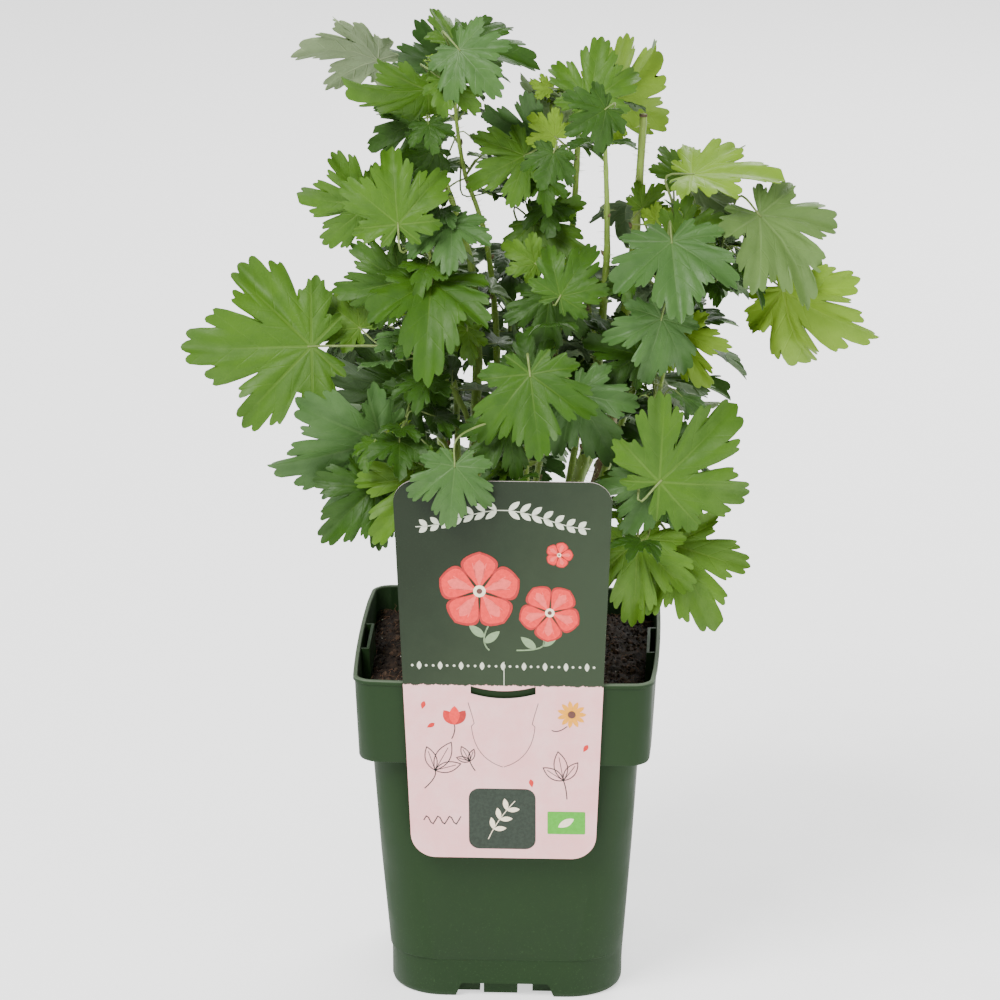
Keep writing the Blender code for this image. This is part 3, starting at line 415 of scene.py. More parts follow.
# Colour, what it is speckled with, speckles to a metre, roughness
SPECKLED_COLOURS = {
    "stalk_green": ((0.12, 0.19, 0.035), (0.20, 0.26, 0.08), 300.0, 0.5),
    "bud_scale": ((0.24, 0.20, 0.09), (0.15, 0.09, 0.05), 900.0, 0.6),
    "cut_rim": ((0.07, 0.05, 0.03), (0.13, 0.09, 0.05), 800.0, 0.8),
    "cut_wood": ((0.42, 0.40, 0.24), (0.30, 0.27, 0.14), 900.0, 0.75),
    "bristle_pale": ((0.52, 0.62, 0.30), (0.40, 0.48, 0.20), 900.0, 0.6),
    "grain_brown": ((0.075, 0.042, 0.024), (0.030, 0.018, 0.012), 900.0, 0.9),
    "root_fibre": ((0.20, 0.105, 0.055), (0.10, 0.05, 0.03), 900.0, 0.85),
    "white_grain": ((0.55, 0.52, 0.46), (0.36, 0.33, 0.28), 900.0, 0.8),
    "card_edge": ((0.80, 0.66, 0.66), (0.72, 0.60, 0.60), 600.0, 0.6),
}
POT_GREEN = (0.0100, 0.0290, 0.0066)
POT_WORN = (0.017, 0.040, 0.0125)
# The colour of the painted highlight along the top of the rim.
POT_RIM_HIGHLIGHT = (0.105, 0.140, 0.090)
CARD_DARK = (0.012, 0.021, 0.009)
CARD_DARK_PALE = (0.028, 0.044, 0.021)
CARD_ROSE = (0.96, 0.48, 0.48)
CARD_ROSE_PALE = (0.97, 0.57, 0.56)
TEAR_DROP = 2.9  # the lowest of the torn edge below the rim

# Studio, in metres but for the target and the floor, which are in millimetres
CAMERA_DISTANCE = 2.2
CAMERA_PITCH = math.radians(17.55)
CAMERA_YAW = math.radians(2.52)
CAMERA_LENS = 180.7
CAMERA_TARGET = (-4.3, 0, 214.0)
LIGHTS = (
    ("key_light", (-0.9, -1.2, 2.0), 1.2, 80),
    ("fill_light", (1.6, -1.3, 0.8), 1.4, 16),
    ("back_light", (0.5, 1.6, 1.5), 1.2, 40),
)
LIGHTS_AIM = (0, 0, 0.22)
WORLD_STRENGTH = 0.50
FLOOR_GLOW = 1.0
FLOOR_WIDTH = 24000.0

# Print on the label, in millimetres on the card: across from its middle, up from the rim
PRINT_THICKNESS = 0.06
PRINT_LIFT = CARD_THICKNESS / 2 + 0.03
BLOSSOMS = ((-10.0, 43.0, 18.0, 5, 18), (20.0, 33.5, 13.5, 5, 50), (24.0, 60.0, 6.0, 5, 0))
GARLAND_LEAVES = 15
GARLAND_HEIGHT = 76.0
GARLAND_WIDTH = 74.0
GARLAND_RISE = 4.0
ROW_MARKS = 27
ROW_HEIGHT = 8.5
ROW_WIDTH = 78.0
PATCH = (-0.5, -63.0, 29.0, 28.5, 4.5)
SMALL_PATCH = (27.3, -64.5, 16.4, 10.6, 0.6)
SLIT = ((0.4, -0.6), (0.4, 10.5))
SKETCHED_FLOWERS = ((-29.5, -40.5, 62, 1.75), (-14.5, -36.0, 118, 0.9), (26.0, -44.5, 100, 1.6))
DAISY = (29.5, -13.5)
TULIP = (-21.0, -19.0)
LOOSE_PETALS = ((-35.0, -12.0, 75), (-33.0, -20.5, 30), (12.5, -48.0, 100), (34.5, -31.0, 60))
# Each print colour, and how far it lies over the first ones
INKS = {
    "pale": ((0.62, 0.66, 0.52), 0.0),
    "sage": ((0.20, 0.30, 0.15), 0.0),
    "coral_deep": ((0.42, 0.008, 0.007), 0.02),
    "coral": ((0.80, 0.022, 0.018), 0.05),
    "blush": ((0.86, 0.095, 0.08), 0.08),
    "cream": ((0.88, 0.78, 0.56), 0.11),
    "eye": ((0.10, 0.030, 0.020), 0.14),
    "ink": ((0.018, 0.015, 0.012), 0.0),
    "yellow": ((0.82, 0.34, 0.002), 0.02),
    "red": ((0.60, 0.010, 0.008), 0.0),
    "moss": ((0.007, 0.018, 0.007), 0.0),
    "leaf_print": ((0.060, 0.37, 0.012), 0.0),
}

# Finishes

class Finish:
    """A material whose shader is fed by a short chain of nodes."""

    def __init__(self, name, roughness, colour, shine):
        self.material = bpy.data.materials.new(name)
        self.material.use_nodes = True
        self.tree = self.material.node_tree
        self.shader = self.tree.nodes["Principled BSDF"]
        self.shader.inputs["Roughness"].default_value = roughness
        self.shader.inputs["Specular IOR Level"].default_value = shine
        self.shader.inputs["Base Color"].default_value = (*colour, 1)
        self.coordinates = self.node("ShaderNodeTexCoord")

    def node(self, kind, inputs=None, **settings):
        """A new node, its inputs set to values or linked to other nodes' outputs."""
        made = self.tree.nodes.new(kind)
        for setting, value in settings.items():
            setattr(made, setting, value)
        for socket, value in (inputs or {}).items():
            if isinstance(value, bpy.types.NodeSocket):
                self.tree.links.new(value, made.inputs[socket])
            else:
                made.inputs[socket].default_value = value
        return made

    def place(self):
        """Object coordinates, in metres."""
        return self.coordinates.outputs["Object"]

    def stretched(self, *scale, turned=(0.0, 0.0, 0.0)):
        """Object coordinates scaled along each axis."""
        inputs = {"Vector": self.place(), "Scale": scale, "Rotation": turned}
        return self.node("ShaderNodeMapping", inputs).outputs[0]

    def axes(self, where=None):
        """The three numbers of a place."""
        return self.node("ShaderNodeSeparateXYZ", {0: where or self.place()}).outputs

    def turned(self, operation, first, second=(0.0, 0.0, 0.0), **settings):
        """A step of arithmetic on vectors."""
        inputs = {0: first, 1: second, **settings}
        return self.node("ShaderNodeVectorMath", inputs, operation=operation)

    def speckle(self, per_metre, detail, roughness=0.55, where=None, distortion=0.0):
        """A noise from 0 to 1."""
        return self.node("ShaderNodeTexNoise", {
            "Vector": where or self.place(), "Scale": per_metre, "Detail": detail,
            "Roughness": roughness, "Distortion": distortion,
        }).outputs["Fac"]

    def cells(self, per_metre, where, feature="F1"):
        """Distances in a pattern of cells."""
        return self.node("ShaderNodeTexVoronoi", {
            "Vector": where, "Scale": per_metre,
        }, feature=feature).outputs["Distance"]

    def sum(self, operation, first, second=0.0, third=0.0):
        """One step of arithmetic on two or three values."""
        return self.node("ShaderNodeMath", {0: first, 1: second, 2: third}, operation=operation).outputs[0]

    def ramp(self, value, low, high, from_low, from_high):
        """The value taken smoothly from the last range to the first one, held at its ends."""
        return self.node("ShaderNodeMapRange", {
            "Value": value, "From Min": from_low, "From Max": from_high, "To Min": low, "To Max": high,
        }, interpolation_type="SMOOTHSTEP").outputs["Result"]

    def blend(self, share, first, second):
        """From the first colour to the second one."""
        mix = self.node("ShaderNodeMix", data_type="RGBA")
        for socket, value in ((mix.inputs[0], share), (mix.inputs[6], first), (mix.inputs[7], second)):
            if isinstance(value, bpy.types.NodeSocket):
                self.tree.links.new(value, socket)
            else:
                socket.default_value = (*value, 1)
        return mix.outputs[2]

    def feed(self, name, socket):
        """Sends a value or colour into the surface's input of this name."""
        self.tree.links.new(socket, self.shader.inputs[name])

    def relief(self, height, millimetres):
        """Bumps of this height where the value goes from 0 to 1."""
        bump = self.node("ShaderNodeBump", {"Height": height, "Distance": millimetres * MM, "Strength": 1.0})
        self.feed("Normal", bump.outputs["Normal"])


def veins(finish):
    """Over a blade's own plane: how much of a main vein and of a fine one lies here, the swelling
    between side veins, and the place itself."""
    sheet = finish.node("ShaderNodeUVMap", uv_map="blade").outputs["UV"]
    spread = finish.turned("SUBTRACT", sheet, (0.5, 0.5, 0.0)).outputs[0]
    spread = finish.turned("SCALE", spread, Scale=SHEET_SPAN).outputs[0]
    axes = finish.axes(spread)
    reach = finish.turned("LENGTH", spread).outputs["Value"]
    turn = finish.sum("ARCTAN2", axes[0], axes[1])
    turn = finish.sum("WRAP", turn, VEIN_SPACING / 2, -VEIN_SPACING / 2)
    aside = finish.sum("ABSOLUTE", finish.sum("MULTIPLY", reach, finish.sum("SINE", turn)))
    along = finish.sum("MULTIPLY", reach, finish.sum("COSINE", turn))
    width = finish.sum("MULTIPLY_ADD", reach, -0.012, 0.017)
    main = finish.sum("SUBTRACT", 1.0, finish.sum("DIVIDE", aside, width))
    main = finish.sum("MAXIMUM", main, 0.0)
    step = finish.sum("DIVIDE", finish.sum("MULTIPLY_ADD", aside, -1.25, along), 0.19)
    step = finish.sum("ABSOLUTE", finish.sum("SUBTRACT", finish.sum("FRACT", step), 0.5))
    side = finish.ramp(step, 0.0, 1.0, 0.42, 0.5)
    swell = finish.ramp(step, 1.0, 0.0, 0.0, 0.5)
    net = finish.cells(17.0, spread, "DISTANCE_TO_EDGE")
    net = finish.ramp(net, 1.0, 0.0, 0.0, 0.07)
    fine = finish.sum("MAXIMUM", finish.sum("MULTIPLY", side, 0.75), finish.sum("MULTIPLY", net, 0.25))
    fading = finish.ramp(reach, 1.0, 0.15, 0.15, 0.75)
    fine = finish.sum("MULTIPLY", fine, finish.ramp(reach, 1.0, 0.3, 0.3, 0.95))
    return finish.sum("MULTIPLY", finish.ramp(main, 0.0, 1.0, 0.0, 0.6), fading), fine, swell, spread


def leaf_finish(name, base, shade, vein, roughness):
    """The upper side: mottled with a darker tone, veins pale, a soft broken sheen."""
    made = Finish(name, roughness, base, 0.22)
    main, fine, swell, sheet = veins(made)
    mottle = made.speckle(3.2, 4.0, 0.6, sheet)
    cloud = made.speckle(24.0, 2.0)
    colour = made.blend(made.ramp(mottle, 0.0, 0.75, 0.3, 0.75), base, shade)
    colour = made.blend(made.ramp(cloud, 0.0, 0.35, 0.4, 0.7), colour, shade)
    colour = made.blend(made.sum("MULTIPLY", fine, 0.10), colour, vein)
    colour = made.blend(made.sum("MULTIPLY", main, 0.32), colour, vein)
    made.feed("Base Color", colour)
    made.feed("Roughness", made.ramp(mottle, roughness - 0.07, roughness + 0.12, 0.3, 0.7))
    grain = made.speckle(70.0, 2.0, 0.5, sheet)
    low = made.sum("MULTIPLY", grain, 0.10)
    height = made.sum("MULTIPLY_ADD", made.sum("MAXIMUM", main, fine), -0.22, low)
    made.relief(made.sum("MULTIPLY_ADD", swell, 0.10, height), 0.6)
    return made.material


def underside_finish(name, base, vein):
    """The lower side: pale and dull, with its veins standing out."""
    made = Finish(name, 0.62, base, 0.3)
    main, fine, _, sheet = veins(made)
    mottle = made.speckle(6.0, 3.0, 0.6, sheet)
    colour = made.blend(made.ramp(mottle, 0.0, 0.5, 0.3, 0.8), base, tuple(c * 0.72 for c in base))
    colour = made.blend(made.sum("MULTIPLY", made.sum("MAXIMUM", main, fine), 0.7), colour, vein)
    made.feed("Base Color", colour)
    made.relief(made.sum("MAXIMUM", main, fine), 0.35)
    return made.material


def stem_finish(name, low, high, bark, aged=False):
    """Young wood: green, paler towards its tip, faintly ribbed, with brown scars near its foot.
    An aged cane is brown further up."""
    turn_low, turn_high = (0.235, 0.275) if aged else (0.17, 0.34)
    made = Finish(name, 0.5, high, 0.4)
    height = made.axes()[2]
    streak = made.stretched(1.0, 1.0, 0.12)
    ribs = made.speckle(900.0, 3.0, 0.6, streak)
    blotch = made.speckle(160.0, 4.0, 0.65)
    colour = made.blend(made.ramp(height, 0.0, 1.0, turn_low, turn_high), low, high)
    colour = made.blend(made.ramp(ribs, 0.0, 0.35, 0.35, 0.7), colour, tuple(c * 0.55 for c in low))
    foot = made.ramp(height, 0.75, 0.0, 0.150, 0.235)
    scars = made.sum("MULTIPLY", made.ramp(blotch, 0.0, 1.0, 0.42, 0.58), foot)
    made.feed("Base Color", made.blend(scars, colour, bark))
    made.relief(made.sum("MULTIPLY_ADD", blotch, 0.6, ribs), 0.22)
    return made.material


def bark_finish(name, pale, dark):
    """Last year's wood: grey brown, split lengthwise, with peeling flakes."""
    made = Finish(name, 0.82, pale, 0.25)
    streak = made.stretched(1.0, 1.0, 0.16)
    split = made.speckle(700.0, 5.0, 0.7, streak, 0.6)
    flakes = made.cells(330.0, streak)
    colour = made.blend(made.ramp(split, 0.0, 1.0, 0.38, 0.62), dark, pale)
    colour = made.blend(made.ramp(flakes, 0.0, 0.5, 0.25, 0.7), colour, tuple(c * 1.9 for c in pale))
    made.feed("Base Color", colour)
    made.relief(made.sum("ADD", split, made.sum("MULTIPLY", flakes, 0.6)), 0.5)
    return made.material


def speckled_finish(name, first, second, per_metre, roughness, height=0.1):
    """One colour broken by another, with a fine grain."""
    made = Finish(name, roughness, first, 0.4)
    grain = made.speckle(per_metre, 4.0, 0.6)
    made.feed("Base Color", made.blend(made.ramp(grain, 0.0, 1.0, 0.35, 0.65), first, second))
    made.feed("Roughness", made.ramp(grain, roughness - 0.06, roughness + 0.08, 0.3, 0.7))
    made.relief(grain, height)
    return made.material


def speckled(name):
    """The speckled finish of this name in the table of colours."""
    return speckled_finish(name, *SPECKLED_COLOURS[name])


def plastic_finish(name, base, worn):
    """Moulded plastic with a fine bloom, faint upright draw marks, dust and small scuffs, and a painted
    highlight along the top of the rim.
    """
    made = Finish(name, 0.48, base, 0.18)
    height = made.axes()[2]
    upright = made.stretched(1.0, 1.0, 0.05)
    drawn = made.speckle(420.0, 2.0, 0.5, upright)
    bloom = made.speckle(38.0, 4.0, 0.6)
    dust = made.speckle(1300.0, 2.0, 0.5)
    scuff = made.stretched(1.0, 1.0, 7.0, turned=(0.5, 0.9, 0.3))
    marks = made.ramp(made.speckle(160.0, 2.0, 0.5, scuff), 0.0, 1.0, 0.70, 0.78)
    colour = made.blend(made.ramp(bloom, 0.0, 0.35, 0.35, 0.7), base, worn)
    colour = made.blend(made.sum("MULTIPLY", marks, 0.25), colour, worn)
    near_foot = made.ramp(height, 0.30, 0.04, 0.0, 0.09)
    low_dust = made.sum("MULTIPLY", made.ramp(dust, 0.0, 1.0, 0.60, 0.74), near_foot)
    colour = made.blend(low_dust, colour, tuple(min(1, c * 2.6) for c in worn))
    # A pale line painted along the top of the rim stands in for its highlight.
    rim_highlight = made.ramp(height, 0.0, 0.8, (POT_HEIGHT - 0.9) * MM, (POT_HEIGHT - 0.15) * MM)
    made.feed("Base Color", made.blend(rim_highlight, colour, POT_RIM_HIGHLIGHT))
    rough = made.ramp(bloom, 0.52, 0.64, 0.3, 0.7)
    made.feed("Roughness", made.sum("ADD", rough, made.sum("MULTIPLY", marks, 0.15)))
    made.relief(made.sum("MULTIPLY_ADD", dust, 0.25, drawn), 0.05)
    return made.material


def soil_finish(name):
    """Moist dark compost with paler fibres in it."""
    made = Finish(name, 0.93, (0.016, 0.011, 0.008), 0.25)
    lumps = made.speckle(260.0, 6.0, 0.7)
    fibre = made.stretched(1.0, 0.14, 1.0, turned=(0.0, 0.0, 0.7))
    strands = made.ramp(made.speckle(900.0, 3.0, 0.6, fibre, 1.2), 0.0, 1.0, 0.60, 0.70)
    colour = made.blend(made.ramp(lumps, 0.0, 1.0, 0.35, 0.65), (0.009, 0.006, 0.005), (0.040, 0.026, 0.018))
    made.feed("Base Color", made.blend(made.sum("MULTIPLY", strands, 0.6), colour, (0.11, 0.052, 0.026)))
    made.feed("Roughness", made.ramp(lumps, 0.75, 1.0, 0.3, 0.7))
    made.relief(lumps, 1.2)
    return made.material


def stool_middle():
    """The middle of the stool's rounded top, over the compost."""
    base = POT_HEIGHT - COMPOST_EDGE_DROP + COMPOST_RISE + GAP
    return Vector((0, 0, base + STOOL_RISE))


def seen(across, height, toward):
    """The place, in millimetres, that the front view shows here when it lies this far towards it."""
    return Vector((across, -toward, height + toward * math.tan(VIEW_PITCH)))


def smooth_route(points, steps):
    """Points along a smooth curve through these ones, steps of them to each stretch."""
    padded = [points[0] * 2 - points[1]] + points + [points[-1] * 2 - points[-2]]
    route = []
    for before, start, end, after in zip(padded, padded[1:], padded[2:], padded[3:]):
        for i in range(steps):
            t = i / steps
            route.append(0.5 * (
                2 * start
                + (end - before) * t
                + (2 * before - 5 * start + 4 * end - after) * t ** 2
                + (3 * start - before - 3 * end + after) * t ** 3
            ))
    return route + [points[-1]]


def growing_route(start, first_stretch, onward):
    """A limb's smooth route, its first stretch kept straight so that its end is cut square."""
    route = smooth_route([start, start + first_stretch] + onward, 2)
    route[1] = start + first_stretch / 2
    return route


def seated(start, way, radius, tree):
    """The start of a limb, slid back along its way until its end is a gap clear of its parent."""
    side = way.orthogonal().normalized()
    rim = [Matrix.Rotation(math.radians(turn), 3, way) @ side * radius for turn in range(0, 360, 30)]
    for _ in range(4):
        clear = min(tree.find_nearest(start + off * share)[3] for off in rim for share in (0, 0.5, 1))
        start = start - way * (clear - GAP)
    return start


def limb_route(limb, routes, trees):
    """A limb's smooth route, from just clear of its parent's surface."""
    own = [seen(*place) for place in limb.route]
    if limb.parent == "stem_base":
        way = Vector((0, 0, 1))
        if limb.fork is not None:
            way = Vector((math.sin(CANE_SPLAY), 0, math.cos(CANE_SPLAY)))
            way.rotate(Matrix.Rotation(math.radians(limb.fork), 3, "Z"))
        middle, straight = stool_middle(), CANE_STRAIGHT
    else:
        parent = routes[limb.parent]
        at = limb.fork * (len(parent) - 1)
        i = min(int(at), len(parent) - 2)
        middle, straight = parent[i].lerp(parent[i + 1], at - i), SHOOT_STRAIGHT
        along = (parent[i + 1] - parent[i]).normalized()
        way = (own[0] - middle).normalized()
        # A shoot leaves its parent at SHOOT_ANGLE or more, so that its end clears the parent.
        sideways = (way - along * way.dot(along)).normalized()
        lean = min(way.dot(along), math.cos(SHOOT_ANGLE))
        way = sideways * math.sqrt(1 - lean ** 2) + along * lean
    start = seated(middle + way * STOOL_FLARE, way, limb.thick, trees[limb.parent])
    return growing_route(start, way * straight, own)


def blade_outline():
    """Five blunt lobes with gaps between them, for a midrib of length 1 along +Y."""
    outline = [(-turn, reach) for turn, reach in HALF_BLADE[::-1]] + [(0, 1), *HALF_BLADE, (180, BLADE_NOTCH)]
    return [
        Vector((math.sin(math.radians(turn)) * reach, math.cos(math.radians(turn)) * reach, 0))
        for turn, reach in outline
    ]


def blade_bend(flat, size):
    """Lifts a flat blade's point: the halves fold up a little and the ends droop."""
    reach = flat.length
    fold = BLADE_FOLD * abs(flat.x)
    return Vector((flat.x, flat.y, fold - BLADE_DROOP * reach ** 2)) * size


def leaf_frame(foot, midrib, face):
    """The blade's own axes: Y along the midrib, Z out of the upper side."""
    y = midrib.normalized()
    x = y.cross(face).normalized()
    z = x.cross(y)
    return Matrix.Translation(foot) @ Matrix((x, y, z)).transposed().to_4x4()


def shown_frame(leaf, toward):
    """The frame of a leaf from its row in the table, at this depth."""
    aim, tip = math.radians(leaf.aim), math.radians(leaf.tip)
    in_picture = PICTURE_RIGHT * math.cos(aim) + PICTURE_UP * math.sin(aim)
    midrib = in_picture * math.cos(tip) + TO_VIEWER * math.sin(tip)
    face = TO_VIEWER - midrib * TO_VIEWER.dot(midrib)
    face = Matrix.Rotation(math.radians(leaf.roll), 3, midrib) @ face
    return leaf_frame(seen(leaf.across, leaf.height, toward), midrib, face)


def blade(frame, size, thickness):
    """Points and faces of one blade: the outline fanned from the foot, on both sides."""
    outline = blade_outline()
    flat = [Vector((0, BLADE_MIDDLE, 0))] + outline
    half = Vector((0, 0, thickness / 2))
    points = [frame @ (blade_bend(p, size) + half) for p in flat]
    points += [frame @ (blade_bend(p, size) - half) for p in flat]
    count = len(flat)
    faces = []
    for i in range(1, count):
        j = i % (count - 1) + 1
        faces += [(0, j, i), (count, count + i, count + j), (i, j, count + j, count + i)]
    return points, faces


def guard_tree(route, thick, thin):
    """A search tree of the space that wood needs along a route: its own with the gap round it."""
    count = len(route)
    radii = [thick + GAP + (thin - thick) * i / (count - 1) for i in range(count)]
    return tree_of(*tube_shape(route, lambda i: [radii[i]] * 3, 3))


def stalk_route(root, frame, size, arrive):
    """From its root inside the stem, bowing into the line of the midrib and just into the blade."""
    foot, midrib = frame.translation, frame.to_3x3() @ Vector((0, 1, 0))
    reach = (foot - root).length
    before = foot - midrib * min(reach * STALK_BOW, arrive)
    leave = root.lerp(before, STALK_BOW) + Vector((0, 0, reach * STALK_LIFT))
    return [root, leave, before, foot + midrib * STALK_END * size]


def stalk_roots(stem, foot):
    """The places on the stem where this leaf's stalk may start, the most natural ones first."""
    end = stem[-1] + (stem[-2] - stem[-1]).normalized() * 2

    def strain(place):
        away = foot - place
        return away.length + max(0, 0.5 * math.hypot(away.x, away.y) - away.z) * 0.6

    return sorted(stem[1:-1] + [end], key=strain)


def tree_of(points, faces):
    """A search tree for overlaps and distances."""
    return BVHTree.FromPolygons([tuple(p) for p in points], faces)


class Bush:
    """What is placed so far, so that nothing new runs into it."""

    def __init__(self, solids):
        self.solids = solids
        self.stems = {}
        self.stalks = []
        self.blades = []
        self.grown = {mass.name: [] for mass in MASSES}
        self.backdrop = None

    def free(self, mass, tree, is_blade):
        """True if a blade is clear of all that is placed, or a stalk of all but its own mass's wood."""
        if any(solid.overlap(tree) for solid in self.solids + self.blades):
            return False
        if any(owner != mass and other.overlap(tree) for owner, other in self.stems.items()):
            return False
        if is_blade and self.stems[mass].overlap(tree):
            return False
        return not any((is_blade or owner != mass) and other.overlap(tree) for owner, other in self.stalks)

    def grow(self, mass, stem, frame, size, tone):
        """Keeps the leaf, with a stalk, if both are clear of everything. True if it was kept."""
        wide = tree_of(*blade(frame, size, BLADE_THICKNESS + 2 * GAP))
        if not self.free(mass, wide, True):
            return False
        roots = stalk_roots(stem, frame.translation)[:STALK_TRIES]
        for root, arrive in [(root, arrive) for arrive in STALK_ARRIVALS for root in roots]:
            route = stalk_route(root, frame, size, arrive)
            stalk = guard_tree(route[:-1], STALK_RADIUS, STALK_END_RADIUS)
            if self.free(mass, stalk, False) and not stalk.overlap(wide):
                self.blades.append(wide)
                self.stalks.append((mass, stalk))
                self.grown[mass].append((frame, size, route, tone))
                return True
        return False

    def hang_backdrop(self):
        """All the blades so far as one search tree, for covered()."""
        points, faces = [], []
        for grown in self.grown.values():
            for frame, size, *_ in grown:
                own, sides = blade(frame, size, BLADE_THICKNESS)
                faces += [tuple(len(points) + i for i in side) for side in sides]
                points += own
        self.backdrop = tree_of(points, faces)

    def covered(self, place):
        """True if a blade lies before or behind this place, seen from the front."""
        return self.backdrop.ray_cast(place + TO_VIEWER * 600, -TO_VIEWER, 1200)[0] is not None


def place_shown_leaves(bush, mass, stem):
    """Each leaf keeps its place in the front view and moves in depth until it is clear."""
    for leaf in mass.leaves:
        for shift in DEPTH_SHIFTS:
            if bush.grow(mass.name, stem, shown_frame(leaf, leaf.toward + shift), leaf.size, leaf.tone):
                break


def place_rule_leaves(bush, mass, stem, fine=False):
    """Leaves about the stem, each arching out and drooping, until there are enough. The first ones
    follow a spiral. The fine ones each lie over or behind another, seen from the front, so that
    the gaps between the sprays stay open."""
    chance = random.Random(mass.seed + (FINE_SEED if fine else 0))
    middle = stem[len(stem) // 2]
    wanted = FINE_LEAVES if fine else mass.filler
    turn = 0 if fine else chance.uniform(0, 2 * math.pi)
    for _ in range(FINE_TRIES if fine else FILLER_TRIES):
        if not wanted:
            break
        turn = chance.uniform(0, 2 * math.pi) if fine else turn + GOLDEN_TURN
        outward = Vector((math.cos(turn), math.sin(turn), 0))
        root = chance.choice(stem) if fine else stem[int(chance.uniform(*FILLER_ROOT) * (len(stem) - 1))]
        size = chance.uniform(*(FINE_SIZE if fine else FILLER_SIZE))
        stalk = outward + Vector((0, 0, chance.uniform(*FILLER_RISE)))
        foot = root + stalk.normalized() * chance.uniform(*(FINE_STALK if fine else FILLER_STALK))
        sway = [chance.uniform(*limits) for limits in (FILLER_SWAY, FILLER_SWAY, FILLER_DROOP)]
        midrib = outward + Vector(sway)
        face = Vector((0, 0, 1)) + outward * chance.uniform(*FILLER_TURN_OUT)
        tip = foot + midrib.normalized() * size
        if not fine and mass.leaves and outward.y < FRONT_SHARE:
            continue
        if (tip - middle).length > mass.spread or min(tip.z, foot.z) < POT_HEIGHT + KEEP_ABOVE_RIM:
            continue
        if fine and not all(bush.covered(foot.lerp(tip, share)) for share in COVERED_AT):
            continue
        if bush.grow(mass.name, stem, leaf_frame(foot, midrib, face), size, "fine" if fine else None):
            wanted -= 1


def mass_stem(mass, limb, route):
    """The mass's own stem from just clear of its limb's tip, and its radius there."""
    end, before = route[-1], route[-2]
    ahead = (end - before).normalized()
    start = end + ahead * GAP
    own = [seen(*place) for place in mass.route]
    return growing_route(start, ahead * MASS_STEM_STRAIGHT, own), min(limb.thin, MASS_STEM_RADIUS)


# Joined meshes

class Joined:
    """Points and triangles of many small shapes, gathered into one piece."""

    def __init__(self):
        self.points, self.faces, self.sheets, self.slots, self.creases = [], [], [], [], []
        self.count = 0

    def add(self, points, faces, sheet=None, slots=None, crease=None):
        """sheet holds each point's place in the leaf's own plane, slots each face's material."""
        points, faces = np.asarray(points, float), np.asarray(faces, int)
        self.points.append(points)
        self.faces.append(faces + self.count)
        self.sheets.append(np.zeros((len(points), 2)) if sheet is None else np.asarray(sheet, float))
        self.slots.append(np.zeros(len(faces), int) if slots is None else np.asarray(slots, int))
        self.creases.append(np.zeros(len(points), int) if crease is None else np.asarray(crease, int))
        self.count += len(points)

    def piece(self, name, materials, smooth=True):
        """One mesh object of everything gathered, its points given in millimetres."""
        points, faces = np.concatenate(self.points) * MM, np.concatenate(self.faces)
        sheets, slots = np.concatenate(self.sheets), np.concatenate(self.slots)
        creases = np.concatenate(self.creases)
        mesh = bpy.data.meshes.new(name)
        mesh.vertices.add(len(points))
        mesh.vertices.foreach_set("co", points.ravel())
        mesh.loops.add(faces.size)
        mesh.loops.foreach_set("vertex_index", faces.ravel())
        mesh.polygons.add(len(faces))
        mesh.polygons.foreach_set("loop_start", np.arange(0, faces.size, 3))
        mesh.polygons.foreach_set("material_index", slots)
        mesh.polygons.foreach_set("use_smooth", np.full(len(faces), smooth))
        if np.any(sheets):
            layer = mesh.uv_layers.new(name="blade")
            layer.data.foreach_set("uv", (sheets[faces.ravel()] / SHEET_SPAN + 0.5).ravel())
        mesh.update(calc_edges=True)
        if np.any(creases):
            ends = np.empty(len(mesh.edges) * 2, int)
            mesh.edges.foreach_get("vertices", ends)
            marks = creases[ends.reshape(-1, 2)]
            sharp = (marks[:, 0] == marks[:, 1]) & (marks[:, 0] > 0)
            mesh.attributes.new("sharp_edge", "BOOLEAN", "EDGE").data.foreach_set("value", sharp)
        for finish in materials:
            mesh.materials.append(finish)
        made = bpy.data.objects.new(name, mesh)
        bpy.context.scene.collection.objects.link(made)
        return made


def tube_shape(route, radius, sides):
    """Points and triangles of a closed tube. radius gives a row of radii for each place on the route."""
    route = [Vector(p) for p in route]
    rows, side, count = [], Vector((0.31, 0.95, 0.05)), len(route)
    angles = [2 * math.pi * k / sides for k in range(sides)]
    for i, place in enumerate(route):
        along = (route[min(i + 1, count - 1)] - route[max(i - 1, 0)]).normalized()
        side = (side - along * side.dot(along)).normalized()
        other = along.cross(side)
        reach = radius(i)
        rows += [place + (side * math.cos(a) + other * math.sin(a)) * r for a, r in zip(angles, reach)]
    rows += [route[0], route[-1]]
    faces = []
    for i in range(count - 1):
        for k in range(sides):
            a, b = i * sides + k, i * sides + (k + 1) % sides
            faces += [(a, b, b + sides), (a, b + sides, a + sides)]
    last = (count - 1) * sides
    for k in range(sides):
        m = (k + 1) % sides
        faces += [(count * sides, m, k), (count * sides + 1, last + k, last + m)]
    return rows, faces


def evenly(route, step):
    """The route's points moved to equal distances along it."""
    places = np.array([tuple(p) for p in route])
    runs = np.concatenate([[0], np.cumsum(np.linalg.norm(np.diff(places, axis=0), axis=1))])
    count = max(2, int(round(runs[-1] / step)) + 1)
    wanted = np.linspace(0, runs[-1], count)
    return [Vector([np.interp(w, runs, places[:, axis]) for axis in range(3)]) for w in wanted]


def plain_mesh(made):
    """The object's evaluated shape as its own mesh, with no modifier left."""
    bpy.context.view_layer.update()
    graph = bpy.context.evaluated_depsgraph_get()
    mesh = bpy.data.meshes.new_from_object(made.evaluated_get(graph))
    made.modifiers.clear()
    made.data = mesh
    return made


# Leaves, as they really are

